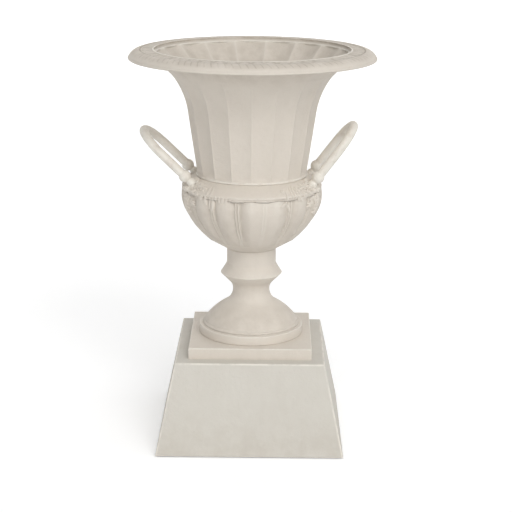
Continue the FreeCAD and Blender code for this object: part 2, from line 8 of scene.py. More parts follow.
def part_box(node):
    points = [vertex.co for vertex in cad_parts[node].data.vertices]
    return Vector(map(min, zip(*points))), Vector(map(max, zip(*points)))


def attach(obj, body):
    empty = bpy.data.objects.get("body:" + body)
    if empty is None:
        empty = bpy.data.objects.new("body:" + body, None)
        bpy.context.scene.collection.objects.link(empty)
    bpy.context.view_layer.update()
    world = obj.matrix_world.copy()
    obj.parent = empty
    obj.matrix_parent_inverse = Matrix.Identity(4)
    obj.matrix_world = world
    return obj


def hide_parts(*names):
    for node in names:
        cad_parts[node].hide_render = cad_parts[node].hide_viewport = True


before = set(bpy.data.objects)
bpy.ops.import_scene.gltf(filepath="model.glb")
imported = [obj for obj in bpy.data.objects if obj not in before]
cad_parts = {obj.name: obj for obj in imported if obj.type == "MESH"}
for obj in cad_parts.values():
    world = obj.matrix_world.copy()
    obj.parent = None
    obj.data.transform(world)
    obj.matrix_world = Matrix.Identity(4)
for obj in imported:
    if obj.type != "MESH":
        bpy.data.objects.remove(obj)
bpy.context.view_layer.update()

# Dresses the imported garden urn: fluted bell, lip ornament, gadrooned bowl with reeds and leaf sprays,
# loop handles, turned stem, square plate and pedestal, in matt bone-coloured cast paint.
# Metres, +Z up, origin on the floor under the middle of the pedestal. The front faces -Y.

bl_info = {
    "name": "Footed garden urn",
    "version": (1, 0, 0),
    "blender": (4, 5, 0),
    "location": "3D View > Sidebar > Urn",
    "description": "Dresses the packed garden urn and pedestal with their castings, ornament and paint",
    "category": "Object",
}

MM = 0.001
TURN = 2 * math.pi
FRONT = -math.pi / 2
FOOT_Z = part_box("stem")[0][2]
BOWL_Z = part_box("stem")[1][2]
BELL_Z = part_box("bowl")[1][2]
PLATE_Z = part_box("plinth_plate")[0][2]
PLATE_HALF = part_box("plinth_plate")[1][0]
PEDESTAL_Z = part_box("pedestal")[0][2]
PEDESTAL_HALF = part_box("pedestal")[1][0]
LOBES, LOBE_DEPTH = 16, 7.0


# ---------------------------------------------------------------- sizes and colours a user would change
def length(name, description, millimetres):
    return bpy.props.FloatProperty(name=name, description=description, default=millimetres * MM,
                                   unit="LENGTH", precision=4)


def number(name, description, default, least):
    return bpy.props.IntProperty(name=name, description=description, default=default, min=least)


def colour(name, description, red, green, blue):
    """Colour property written as the 0-255 values that the paint has in daylight."""
    linear = [((value / 255 + 0.055) / 1.055) ** 2.4 for value in (red, green, blue)]
    return bpy.props.FloatVectorProperty(name=name, description=description, default=(*linear, 1.0),
                                         size=4, subtype="COLOR", min=0.0, max=1.0)


class UrnSizes(bpy.types.PropertyGroup):
    flute_count: number("Flutes", "Flutes round the bell", 18, 6)
    flute_depth: length("Flute depth", "Depth of the bell's flutes below their arrises", 3.6)
    lobe_count: number("Lobes", "Gadroon lobes round the bowl", LOBES, 6)
    lobe_depth: length("Lobe depth", "Depth of the valleys between the bowl's lobes", LOBE_DEPTH)
    stroke_count: number("Lip strokes", "Gadroon strokes round the lip's roll", 108, 36)
    leaf_count: number("Lip leaves", "Leaves round the top of the lip", 54, 18)
    stroke_relief: length("Stroke relief", "Depth between the gadroon strokes of the lip's roll", 0.7)
    border_relief: length("Leaf border relief", "Height of the leaf border on top of the lip", 1.8)
    leaf_relief: length("Leaf spray relief", "Height of the leaf sprays by the handles", 3.1)
    bar_thickness: length("Handle bar", "Thickness of the handles' round bar", 16.8)


class UrnColours(bpy.types.PropertyGroup):
    urn_paint: colour("Urn paint", "Matt paint of the urn", 216, 208, 197)
    pedestal_paint: colour("Pedestal paint", "Matt paint of the pedestal", 203, 199, 190)
    # Colour of dust and weathering, also used as painted shade in hollows, inside the bell, under the lip
    # and under the collar.
    grime: colour("Grime", "Dust and weathering that gathers in hollows", 164, 153, 138)
    # Colour of rubbed paint on edges, also used as painted highlights on ridges, crowns, reeds and the
    # handles.
    worn: colour("Worn edge", "Chalky paint where edges are rubbed", 228, 223, 213)
    steel: colour("Zinc steel", "Screws, washers, nuts, tie rod and clamp bar", 176, 178, 180)
    rubber: colour("Rubber", "Pads and seal", 38, 38, 40)
    floor: colour("Floor", "Floor and backdrop", 246, 246, 246)


def sizes():
    return bpy.context.scene.urn_sizes


def colours():
    return bpy.context.scene.urn_colours


# ---------------------------------------------------------------- outlines, as arrays of radius and height
def straight(start, end, count):
    share = np.linspace(0, 1, count + 1)[:, None]
    return np.array(start) * (1 - share) + np.array(end) * share


def bow(start, end, bulge, count):
    """Arc between two points that stands off its chord, to the left of the way it runs."""
    start, end = np.array(start, float), np.array(end, float)
    chord = end - start
    half = np.hypot(*chord) / 2
    left = np.array((-chord[1], chord[0])) / (2 * half)
    radius = (half ** 2 + bulge ** 2) / (2 * bulge)
    centre = (start + end) / 2 + left * (bulge - radius)
    reach = math.asin(half / abs(radius))
    angles = np.linspace(-reach, reach, count + 1)[:, None]
    middle = left * math.copysign(1, bulge)
    along = chord / (2 * half)
    return centre + abs(radius) * (middle * np.cos(angles) + along * np.sin(angles))


def turn_arc(centre, radius, first, last, count):
    angles = np.radians(np.linspace(first, last, count + 1))
    return np.array(centre) + radius * np.column_stack((np.cos(angles), np.sin(angles)))


def join(*runs):
    """One outline from several runs, with repeated points left out."""
    points = np.vstack(runs)
    keep = np.r_[True, np.hypot(*np.diff(points, axis=0).T) > 1e-4]
    return points[keep]


SHARP_TURN, SQUARE_TURN = 18.0, 50.0


def soften(points, reach, closed=True):
    """Round every corner of an outline over a short reach, with a support point on each side."""
    result = []
    count = len(points)
    for index, corner in enumerate(points):
        before, after = points[index - 1], points[(index + 1) % count]
        ends = not closed and index in (0, count - 1)
        into, out = corner - before, after - corner
        turn = abs(math.degrees(math.atan2(into[0] * out[1] - into[1] * out[0], into @ out)))
        if ends or turn < SHARP_TURN:
            result.append(corner)
            continue
        near = min(reach, 0.3 * np.hypot(*into), 0.3 * np.hypot(*out))
        start = corner - into / np.hypot(*into) * near
        end = corner + out / np.hypot(*out) * near
        result.append(corner - into / np.hypot(*into) * near * 2)
        for share in (0, 0.25, 0.5, 0.75, 1) if turn > SQUARE_TURN else (0, 0.5, 1):
            result.append(start * (1 - share) ** 2 + corner * 2 * share * (1 - share) + end * share ** 2)
        result.append(corner + out / np.hypot(*out) * near * 2)
    return np.array(result)


def outward_of(points):
    """Unit normals of a closed outline that runs up its outside."""
    ahead = np.roll(points, -1, axis=0) - np.roll(points, 1, axis=0)
    normal = np.column_stack((ahead[:, 1], -ahead[:, 0]))
    return normal / np.maximum(np.hypot(*normal.T), 1e-9)[:, None]


def ramp(value, low, high):
    """Smooth step from 0 at low to 1 at high; high may be the smaller."""
    share = np.clip((value - low) / (high - low), 0, 1)
    return share * share * (3 - 2 * share)


def highest(*fields):
    """Greatest of several fields at each place."""
    return np.maximum.reduce(np.broadcast_arrays(*fields))


def bump(value, centre, half_width):
    """Rounded ridge: 1 at its centre, 0 outside its half width."""
    return np.sqrt(np.clip(1 - ((value - centre) / half_width) ** 2, 0, 1))


# ---------------------------------------------------------------- node trees for geometry
class Tree:
    """Small helper that adds and links nodes in a node tree."""

    def __init__(self, group):
        self.group = group

    def add(self, kind, *inputs, **settings):
        node = self.group.nodes.new(kind)
        for name, value in settings.items():
            setattr(node, name, value)
        for slot, value in enumerate(inputs):
            self.feed(node.inputs[slot], value)
        return node

    def feed(self, socket, value):
        if isinstance(value, bpy.types.NodeSocket):
            self.group.links.new(value, socket)
        elif value is not None:
            socket.default_value = value

    def named(self, node, **inputs):
        """Feed a node's inputs by their names, with underscores for spaces."""
        for name, value in inputs.items():
            self.feed(node.inputs[name.replace("_", " ")], value)
        return node

    def math(self, operation, *values):
        return self.add("ShaderNodeMath", *values, operation=operation).outputs[0]

    def times(self, *values):
        return self.math("MULTIPLY", *values)

    def plus(self, *values):
        return self.math("ADD", *values)

    def less(self, *values):
        return self.math("SUBTRACT", *values)

    def scaled(self, vector, factor):
        node = self.add("ShaderNodeVectorMath", vector, operation="SCALE")
        return self.named(node, Scale=factor).outputs[0]

    def attribute(self, name, kind="FLOAT"):
        return self.add("GeometryNodeInputNamedAttribute", name, data_type=kind).outputs["Attribute"]


def new_group(name, kind, inputs, outputs):
    """Node group and its inputs, with every socket given by its name, kind and default."""
    tree = Tree(bpy.data.node_groups.new(name, kind))
    for direction, rows in (("INPUT", inputs), ("OUTPUT", outputs)):
        for label, sort, *default in rows:
            made = tree.group.interface.new_socket(label, in_out=direction, socket_type="NodeSocket" + sort)
            if default:
                made.default_value = default[0]
    return tree, tree.add("NodeGroupInput").outputs


def shared_group(name, maker):
    return bpy.data.node_groups.get(name) or maker(name)


def repeat_round(tree, geometry, count, merge):
    """Nodes that copy a sector round the Z axis and weld the copies into one mesh."""
    step = tree.math("DIVIDE", TURN, count)
    places = tree.named(tree.add("GeometryNodeMeshLine"), Count=count, Offset=(0, 0, 0))
    angle = tree.times(tree.add("GeometryNodeInputIndex").outputs[0], step)
    turn = tree.add("ShaderNodeCombineXYZ", None, None, angle).outputs[0]
    copies = tree.named(tree.add("GeometryNodeInstanceOnPoints"), Points=places.outputs[0],
                        Instance=geometry, Rotation=turn)
    real = tree.add("GeometryNodeRealizeInstances", copies.outputs[0]).outputs[0]
    return tree.named(tree.add("GeometryNodeMergeByDistance", real), Distance=merge).outputs[0]


def finish_tree(tree, geometry, material):
    smooth = tree.add("GeometryNodeSetShadeSmooth", geometry).outputs[0]
    painted = tree.named(tree.add("GeometryNodeSetMaterial", smooth), Material=material)
    tree.add("NodeGroupOutput", painted.outputs[0])
    return tree.group


WEAR_SCALE, WEAR_LOW, WEAR_HIGH = 14.0, 0.36, 0.62


def raise_relief(tree, geometry, source):
    """Nodes that lift the ornament along the normal, less where it is worn away in patches."""
    cloud = tree.named(tree.add("ShaderNodeTexNoise"), Scale=WEAR_SCALE,
                       Vector=tree.add("GeometryNodeInputPosition").outputs[0])
    patch = tree.add("ShaderNodeMapRange", cloud.outputs["Fac"], WEAR_LOW, WEAR_HIGH, 0.0, 1.0).outputs[0]
    kept = tree.less(1.0, tree.times(patch, source["Relief Wear"]))
    lift = tree.times(tree.times(tree.attribute("relief"), kept), source["Relief Height"])
    shift = tree.scaled(tree.add("GeometryNodeInputNormal").outputs[0], lift)
    return tree.named(tree.add("GeometryNodeSetPosition", geometry), Offset=shift).outputs[0]


def ring_tree(name):
    """Ring of sectors: bends a flat sector round the axis, hollows and raises it, and repeats it."""
    tree, source = new_group(
        name, "GeometryNodeTree",
        (("Geometry", "Geometry"), ("Count", "Int", 16), ("First Angle", "Float"),
         ("Hollow Depth", "Float"), ("Relief Height", "Float"), ("Relief Wear", "Float"),
         ("Weld Distance", "Float", 0.00002), ("Material", "Material")),
        (("Geometry", "Geometry"),))
    sunk = tree.times(tree.attribute("hollow"), source["Hollow Depth"])
    shift = tree.scaled(tree.attribute("outward", "FLOAT_VECTOR"), sunk)
    place = tree.add("GeometryNodeInputPosition").outputs[0]
    moved = tree.add("ShaderNodeVectorMath", place, shift, operation="SUBTRACT").outputs[0]
    across, radius, height = tree.add("ShaderNodeSeparateXYZ", moved).outputs
    step = tree.math("DIVIDE", TURN, source["Count"])
    angle = tree.plus(tree.times(across, step), source["First Angle"])
    bent = tree.add("ShaderNodeCombineXYZ", tree.times(radius, tree.math("COSINE", angle)),
                    tree.times(radius, tree.math("SINE", angle)), height).outputs[0]
    shaped = tree.named(tree.add("GeometryNodeSetPosition", source["Geometry"]), Position=bent)
    welded = repeat_round(tree, shaped.outputs[0], source["Count"], source["Weld Distance"])
    return finish_tree(tree, raise_relief(tree, welded, source), source["Material"])


def bar_tree(name):
    """Bar along a path: sweeps a circle whose size follows the path's own share of the thickness."""
    tree, source = new_group(
        name, "GeometryNodeTree",
        (("Geometry", "Geometry"), ("Thickness", "Float", 0.01), ("Sides", "Int", 40),
         ("Material", "Material")),
        (("Geometry", "Geometry"),))
    path = tree.add("GeometryNodeMeshToCurve", source["Geometry"]).outputs[0]
    half = tree.times(source["Thickness"], 0.5)
    circle = tree.named(tree.add("GeometryNodeCurvePrimitiveCircle"), Resolution=source["Sides"],
                        Radius=1.0)
    swept = tree.add("GeometryNodeCurveToMesh", path, circle.outputs[0])
    tree.named(swept, Scale=tree.times(tree.attribute("swell"), half), Fill_Caps=True)
    return finish_tree(tree, swept.outputs[0], source["Material"])


def new_mesh(name, vertices, faces, edges=(), **values):
    mesh = bpy.data.meshes.new(name)
    mesh.from_pydata(np.asarray(vertices, float).tolist(), list(edges), faces)
    for label, numbers in values.items():
        kind, key = ("FLOAT_VECTOR", "vector") if np.ndim(numbers) == 2 else ("FLOAT", "value")
        layer = mesh.attributes.new(label, kind, "POINT")
        layer.data.foreach_set(key, np.asarray(numbers, float).ravel())
    mesh.update()
    return mesh


def new_piece(name, mesh):
    piece = bpy.data.objects.new(name, mesh)
    bpy.context.scene.collection.objects.link(piece)
    return piece


def smooth_shaded(mesh):
    mesh.polygons.foreach_set("use_smooth", [True] * len(mesh.polygons))


def grid_faces(rows, columns, closed=False):
    """Quads between the rows of a grid of vertices, and from its last row to its first if it's closed."""
    faces = []
    for row in range(rows if closed else rows - 1):
        above = (row + 1) % rows
        for column in range(columns - 1):
            faces.append((row * columns + column, row * columns + column + 1,
                          above * columns + column + 1, above * columns + column))
    return faces


def shape_with(piece, tree, **inputs):
    """Run a geometry node tree on a piece, its inputs by name, and keep the plain mesh that it makes."""
    modifier = piece.modifiers.new(tree.name, "NODES")
    modifier.node_group = tree
    for item in tree.interface.items_tree:
        name = item.name.replace(" ", "_")
        if item.in_out == "INPUT" and name in inputs:
            modifier[item.identifier] = inputs[name]
    piece.update_tag()
    graph = bpy.context.evaluated_depsgraph_get()
    graph.update()
    flat = piece.data
    mesh = bpy.data.meshes.new_from_object(piece.evaluated_get(graph), preserve_all_data_layers=True,
                                           depsgraph=graph)
    piece.modifiers.clear()
    piece.data = mesh
    bpy.data.meshes.remove(flat)
    mesh.name = piece.name
    for label in ("hollow", "relief", "outward", "swell"):
        if label in mesh.attributes:
            mesh.attributes.remove(mesh.attributes[label])
    return piece


def ring_piece(name, outline, across, count, first_angle, material, hollow=0.0, relief=0.0,
               hollow_depth=0.0, relief_height=0.0, relief_wear=0.0, **paint_fields):
    """Closed ring made of equal sectors. The outline is in millimetres and runs up its outside."""
    rows, columns = len(outline), np.shape(across)[-1]
    flat = np.zeros((rows, columns, 3))
    flat[:, :, 0] = across
    flat[:, :, 1:] = outline[:, None, :] * MM
    outward = np.zeros((rows, columns, 3))
    outward[:, :, 1:] = outward_of(outline)[:, None, :]
    values = {label: np.broadcast_to(field, (rows, columns)).ravel()
              for label, field in {**paint_fields, "hollow": hollow, "relief": relief}.items()}
    mesh = new_mesh(name, flat.reshape(-1, 3), grid_faces(rows, columns, closed=True),
                    outward=outward.reshape(-1, 3), **values)
    return shape_with(new_piece(name, mesh), shared_group("Ring of sectors", ring_tree), Count=count,
                      First_Angle=first_angle, Hollow_Depth=hollow_depth, Relief_Height=relief_height,
                      Relief_Wear=relief_wear, Material=material)


def settle(piece, slot, *nodes):
    """Hand a finished piece to the frame: parent it to the root body and hide the CAD nodes that it stands
    for. The slot is not used.
    """
    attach(piece, "root")
    if nodes:
        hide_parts(*nodes)


# ---------------------------------------------------------------- shader groups and materials
def noise(tree, vector, scale, detail, roughness=0.5):
    return tree.named(tree.add("ShaderNodeTexNoise"), Vector=vector, Scale=scale, Detail=detail,
                      Roughness=roughness).outputs["Fac"]


def spread(tree, value, low, high):
    node = tree.add("ShaderNodeMapRange", value, low, high, 0.0, 1.0, interpolation_type="SMOOTHSTEP")
    return node.outputs[0]


def mix_colour(tree, factor, first, second):
    node = tree.add("ShaderNodeMix", data_type="RGBA")
    for slot, value in ((0, factor), (6, first), (7, second)):
        tree.feed(node.inputs[slot], value)
    return node.outputs[2]


SURFACE = (("Color", "Color"), ("Roughness", "Float"), ("Height", "Float"))


def cast_paint_group(name):
    """Matt paint over sand-cast metal: mottled colour, dirt and painted shade in hollows, rubbed edges and
    painted highlights, and cast grain.
    """
    tree, source = new_group(
        name, "ShaderNodeTree",
        (("Vector", "Vector"), ("Paint", "Color", (0.6, 0.58, 0.52, 1)),
         ("Grime Colour", "Color", (0.3, 0.28, 0.25, 1)), ("Worn Colour", "Color", (0.75, 0.73, 0.68, 1)),
         ("Grime", "Float"), ("Worn", "Float"), ("Mottle", "Float", 0.06), ("Grain", "Float", 1.0),
         ("Streaks", "Float", 0.3)), SURFACE)
    place = source["Vector"]
    broad = noise(tree, place, 9.0, 4.0, 0.6)
    patches = noise(tree, place, 38.0, 5.0, 0.6)
    specks = noise(tree, place, 420.0, 3.0, 0.65)
    stretched = tree.named(tree.add("ShaderNodeMapping"), Vector=place, Scale=(34.0, 34.0, 5.0))
    runs = noise(tree, stretched.outputs[0], 1.0, 4.0, 0.55)
    shade = tree.plus(tree.times(spread(tree, broad, 0.3, 0.7), 0.6),
                      tree.times(spread(tree, patches, 0.35, 0.7), 0.4))
    streak = tree.times(spread(tree, runs, 0.5, 0.75), source["Streaks"])
    mottled = tree.times(tree.plus(shade, streak), source["Mottle"])
    base = mix_colour(tree, mottled, source["Paint"], source["Grime Colour"])
    # The grime input darkens towards the grime colour in patches: real dirt and painted shade.
    patchy = tree.math("MULTIPLY_ADD", spread(tree, patches, 0.3, 0.65), 0.6, 0.5)
    dirt_and_shade = tree.add("ShaderNodeClamp", tree.times(source["Grime"], patchy)).outputs[0]
    dirty_and_shaded = mix_colour(tree, dirt_and_shade, base, source["Grime Colour"])
    # The worn input lightens towards the worn colour in patches: rubbed paint and painted highlights.
    rubbed_and_lit = tree.times(source["Worn"], spread(tree, patches, 0.32, 0.6))
    final = mix_colour(tree, tree.add("ShaderNodeClamp", rubbed_and_lit).outputs[0], dirty_and_shaded, source["Worn Colour"])
    dusted = mix_colour(tree, tree.times(spread(tree, specks, 0.56, 0.72), 0.10), final,
                        source["Grime Colour"])
    dry = tree.math("MULTIPLY_ADD", patches, 0.22, 0.52)
    rough = tree.less(dry, tree.times(source["Worn"], 0.08))
    pits = noise(tree, place, 900.0, 2.0, 0.5)
    lumps = tree.times(noise(tree, place, 120.0, 4.0, 0.55), 2.2)
    grain = tree.plus(tree.times(pits, 0.35), tree.times(specks, 0.9))
    tree.add("NodeGroupOutput", dusted, rough, tree.times(tree.plus(lumps, grain), source["Grain"]))
    return tree.group


def square_edge_group(name):
    """Mask of the sloping corners and top edges of a square block that tapers upward, by its own place."""
    tree, source = new_group(
        name, "ShaderNodeTree",
        (("Vector", "Vector"), ("Bottom Half", "Float", 0.18), ("Top Half", "Float", 0.143),
         ("Bottom", "Float"), ("Top", "Float", 0.18), ("Edge Width", "Float", 0.004),
         ("Foot Height", "Float", 0.03)),
        (("Edge", "Float"), ("Foot", "Float")))
    x, y, z = tree.add("ShaderNodeSeparateXYZ", source["Vector"]).outputs
    side = tree.add("ShaderNodeMapRange", z, source["Bottom"], source["Top"], source["Bottom Half"],
                    source["Top Half"]).outputs[0]
    far = [tree.less(side, tree.math("ABSOLUTE", value)) for value in (x, y)]
    corner = tree.math("MAXIMUM", *far)
    level = tree.less(source["Top"], z)
    rim = tree.math("MAXIMUM", tree.math("MINIMUM", *far), level)
    near = tree.math("MINIMUM", corner, rim)
    edge = tree.less(1.0, spread(tree, near, 0.0, source["Edge Width"]))
    low = tree.less(z, source["Bottom"])
    tree.add("NodeGroupOutput", edge, tree.less(1.0, spread(tree, low, 0.0, source["Foot Height"])))
    return tree.group


def fine_surface_group(name):
    """Fine noise and dulling shared by the zinc steel and the rubber."""
    tree, source = new_group(
        name, "ShaderNodeTree",
        (("Vector", "Vector"), ("Colour", "Color", (0.5, 0.5, 0.5, 1)),
         ("Dull Colour", "Color", (0.3, 0.3, 0.3, 1)), ("Scale", "Float", 300.0),
         ("Roughness Low", "Float", 0.3), ("Roughness High", "Float", 0.5)), SURFACE)
    cloud = noise(tree, source["Vector"], 60.0, 4.0)
    fine = noise(tree, source["Vector"], source["Scale"], 3.0)
    mixed = mix_colour(tree, spread(tree, cloud, 0.35, 0.7), source["Colour"], source["Dull Colour"])
    rough = tree.add("ShaderNodeMapRange", cloud, 0.3, 0.7, source["Roughness Low"],
                     source["Roughness High"]).outputs[0]
    tree.add("NodeGroupOutput", mixed, rough, fine)
    return tree.group


class Material:
    """A new material with a Principled shader, its Object coordinates and a Bump node in front of it."""

    def __init__(self, name, bump_distance):
        self.data = bpy.data.materials.new(name)
        self.data.use_nodes = True
        self.tree = Tree(self.data.node_tree)
        self.shader = self.data.node_tree.nodes["Principled BSDF"]
        self.place = self.tree.add("ShaderNodeTexCoord").outputs["Object"]
        self.bump = self.tree.named(self.tree.add("ShaderNodeBump"), Distance=bump_distance)
        self.tree.named(self.shader, Normal=self.bump.outputs[0])

    def attribute(self, name):
        return self.tree.add("ShaderNodeAttribute", attribute_name=name).outputs["Fac"]

    def group(self, name, maker, **inputs):
        """Outputs of a shared group that is fed with the Object coordinates."""
        node = self.tree.add("ShaderNodeGroup", node_tree=shared_group(name, maker))
        return self.tree.named(node, Vector=self.place, **inputs).outputs

    def surface(self, coat, **values):
        self.tree.named(self.shader, Base_Color=coat["Color"], Roughness=coat["Roughness"], **values)
        self.tree.named(self.bump, Height=coat["Height"])
        return self.data


# The square castings get darker towards their bottom.
PAINT_BUMP, FOOT_DARKENING, MOTTLE = 0.0005, 0.2, 0.09


def paint_material(name, paint, grain, streaks, block=None):
    """Cast paint. A block gives the size of a square CAD piece, whose edges show the wear."""
    made = bpy.data.materials.get(name)
    if made:
        return made
    material = Material(name, PAINT_BUMP)
    if block:
        mask = material.group("Square block edges", square_edge_group, **block)
        worn, grime = mask["Edge"], material.tree.times(mask["Foot"], FOOT_DARKENING)
    else:
        worn, grime = material.attribute("worn"), material.attribute("grime")
    coat = material.group("Cast paint", cast_paint_group, Paint=paint, Grime_Colour=colours().grime,
                          Worn_Colour=colours().worn, Grime=grime, Worn=worn, Mottle=MOTTLE, Grain=grain,
                          Streaks=streaks)
    return material.surface(coat, Specular_IOR_Level=0.5)


def urn_paint():
    return paint_material("bone_cast_paint", colours().urn_paint, grain=1.0, streaks=0.4)


def fine_material(name, fresh, dull, metallic, rough_low, rough_high, bump_distance):
    made = bpy.data.materials.get(name)
    if made:
        return made
    material = Material(name, bump_distance)
    coat = material.group("Fine surface", fine_surface_group, Colour=fresh, Dull_Colour=dull, Scale=700.0,
                          Roughness_Low=rough_low, Roughness_High=rough_high)
    return material.surface(coat, Metallic=metallic)


def shaded(tint, share):
    return (*(value * share for value in tint[:3]), 1.0)


# ---------------------------------------------------------------- bell: wall, lip and their ornament
# Millimetres off the axis and over the bell's foot; slopes are measured off upright.
LEAN = math.radians(8.4)
FLARE = math.radians(35.0)
UPPER = math.radians(45.0)
BELL_FOOT = 105.5
BELL_BEAD = 2.6
RIDGE = (211.0, 241.4)
BAND_INNER = 186.5
LIP_TOP = 243.0
MOUTH_STEP = 236.5
WALL_INSET = 9.1
OVOLO_LOW = (235.3, 228.4)
OVOLO_BULGE = 4.6
INNER_TURN = 0.11


def bell_wall():
    """Radius, height and slope off upright along the bell's arrises, in millimetres over its foot."""
    drop, neck, low, high = 28.2, 25.0, 150.0, 60.0
    rise = (low * (math.sin(FLARE) - math.sin(LEAN)) + high * (math.sin(UPPER) - math.sin(FLARE))
            + neck * math.cos(UPPER))
    cone = LIP_TOP - drop - rise
    heights = np.r_[5.3, 6.5, 8.5, 11.0, np.linspace(15, cone, 22)]
    rows = [(BELL_FOOT + height * math.tan(LEAN), height, LEAN) for height in heights]
    radius, height, _ = rows[-1]
    for bend, first, last, count in ((low, LEAN, FLARE, 24), (high, FLARE, UPPER, 8)):
        angles = np.linspace(first, last, count + 1)[1:]
        rows += [(radius + bend * (math.cos(first) - math.cos(angle)),
                  height + bend * (math.sin(angle) - math.sin(first)), angle) for angle in angles]
        radius, height, _ = rows[-1]
    rows += [(radius + share * neck * math.sin(UPPER), height + share * neck * math.cos(UPPER), UPPER)
             for share in (0.2, 0.4, 0.6, 0.8, 1.0)]
    return np.array(rows)


def flute_share(slope):
    """Flutes are full on the cone and run out along the flare."""
    return 1 - np.clip((slope - LEAN) / (UPPER - LEAN), 0, 1) ** 3


def bell_outline():
    """Closed outline of the bell with each row's share of the flutes outside and the scoops inside."""
    wall = bell_wall()
    foot = np.vstack(([(106.6, 0.0), (107.5, 0.5)],
                      turn_arc((BELL_FOOT, BELL_BEAD), BELL_BEAD, -25, 70, 7)))
    start = wall[-1, :2]
    under = join(bow(start, (203, 229), 3.9, 9), straight((203, 229), (231.6, 225.2), 6))
    bead = turn_arc((233.7, 226.6), 2.5, 240, 402, 10)
    ovolo = bow(OVOLO_LOW, RIDGE, -OVOLO_BULGE, 10)
    lip = join(ovolo, straight(RIDGE, (BAND_INNER, LIP_TOP), 8)[1:])
    lip = soften(np.vstack((lip, [(BAND_INNER, MOUTH_STEP)])), 1.0, closed=False)
    radius, height, slope = wall.T
    cusp = np.column_stack((radius - WALL_INSET * np.cos(slope), height + WALL_INSET * np.sin(slope)))
    cusp = cusp[cusp[:, 1] > 8][::-1]
    mouth = np.array([(185.2, 0.0), (182.6, 0.0), (181.2, -0.8), (180.2, -3.0)]) + (0, MOUTH_STEP)
    flange = np.array([(96.6, 9.0), (96.0, 7.0), (94.5, 6.1), (90, 6.0), (79.5, 6.0), (78, 5.0), (78, -4.0),
                       (79, -5.0), (81.3, -5.0), (82, -4.2), (82, -0.2), (83, 0.0), (94, 0.0), (103, 0.0)])
    outline = np.vstack((foot, wall[:, :2], under[1:], bead, lip, mouth, cusp, flange))
    outside = np.zeros(len(outline))
    outside[len(foot):len(foot) + len(wall)] = flute_share(wall[:, 2])
    outside[len(foot):len(foot) + 4] *= (0.0, 0.45, 0.8, 1.0)
    inside = np.zeros(len(outline))
    first = len(outline) - len(flange) - len(cusp)
    inside[first:first + len(cusp)] = ramp(cusp[:, 1], 0, 200) * 0.5 + 0.5
    inside[first - 3:first] = (0.55, 0.85, 0.95)
    inside[first + len(cusp):first + len(cusp) + 3] = (1.0, 0.9, 0.6)
    return outline, outside[:, None], inside[:, None]


def mirrored(shares):
    half = np.array(shares)
    return np.r_[half, 1 - half[::-1][1 if half[-1] == 0.5 else 0:]]


def recess(outline):
    """How far the ovolo and the lip's top are pulled in, so that the ornament's rings cover them."""
    radius, height = outline.T
    on_ovolo = ramp(radius, 235.2, 233.8) * ramp(radius, 209.5, 212.5) * (height > 228)
    on_top = ramp(radius, 187.3, 189.0) * ramp(radius, 210.2, 208.0) * (height > 240)
    return -2.2 * np.maximum(on_ovolo, on_top)


def make_bell(sizes, paint):
    across = mirrored([0, 0.018, 0.036, 0.06, 0.09, 0.13, 0.18, 0.24, 0.31, 0.39, 0.45, 0.5])
    outline, outside, inside = bell_outline()
    outline = outline + outward_of(outline) * recess(outline)[:, None]
    arris = np.minimum(across, 1 - across)
    cut = ramp(arris, 0.004, 0.05) * 0.12 + 4 * across * (1 - across) * 0.88
    scoop = 1.35 * (1 - (2 * arris) ** 2)
    hollow = outside * cut + inside * scoop
    height = outline[:, 1][:, None]
    radius = outline[:, :1]
    near_foot = np.clip(1 - np.abs(height - 6.5) / 3, 0, 1) * (outside + 0.4 * (radius > 100))
    lip_fillet = ramp(np.abs(height - 227), 5, 2) * (radius > 231)
    mouth_edge = ramp(np.hypot(radius - 183, height - 236.3), 5, 1)
    foot_bead = ramp(np.abs(height - 2.8), 2.6, 1.2) * (radius > 106)
    cusp_line = inside * ramp(arris, 0.46, 0.5)
    # Painted highlights: light lines on the mouth's ledge, the foot bead and the inner cusps; the arrises
    # and the lip's fillet are lightened a little.
    worn = (0.25 * outside * ramp(arris, 0.03, 0.0) + 0.08 * lip_fillet + 0.8 * mouth_edge
            + 0.9 * foot_bead + 0.3 * cusp_line)
    # Painted shade: the inside of the bell is darker, more so low down and away from the cusps; so are the
    # flare under the lip and the lip's underside by its bead. The mouth's step face is darker too, and the
    # wall just over the foot a little.
    step_face = ramp(np.abs(height - 240), 3.2, 1.5) * ramp(np.abs(radius - BAND_INNER), 3, 1)
    deep = inside * (0.24 + 0.3 * ramp(height, 150, 30) + 0.15 * ramp(arris, 0.48, 0.3))
    under_lip = ramp(height, 185, 226) * (radius < 205) * (inside == 0)
    grime = (0.12 * near_foot + deep + 0.45 * step_face + 0.35 * under_lip
             + 0.3 * ramp(radius, 225, 231) * ramp(height, 226.5, 225.4))
    turned = across + INNER_TURN * np.clip(inside * 2, 0, 1)
    return ring_piece("bell_casting", outline + (0, BELL_Z / MM), turned, sizes.flute_count, FRONT, paint,
                      hollow=hollow, hollow_depth=sizes.flute_depth, worn=worn, grime=grime)


ORNAMENT_THICKNESS, ORNAMENT_WEAR = 5.0, 0.8
ORNAMENT_ROWS = 30


def relief_ring(name, top, across, count, relief, height, paint, worn, grime):
    """Closed ring whose top follows an outline and whose underside is sunk in the casting."""
    ahead = np.gradient(top, axis=0)
    normal = np.column_stack((ahead[:, 1], -ahead[:, 0])) / np.hypot(*ahead.T)[:, None]
    under = (top - normal * ORNAMENT_THICKNESS)[::-7]
    outline = np.vstack((top, under))
    blank = np.zeros((len(under), len(across)))
    fields = [np.vstack((np.broadcast_to(field, (len(top), len(across))), blank))
              for field in (relief, worn, grime)]
    return ring_piece(name, outline + (0, BELL_Z / MM), across, count, FRONT, paint, relief=fields[0],
                      relief_height=height, relief_wear=ORNAMENT_WEAR, worn=fields[1], grime=fields[2])


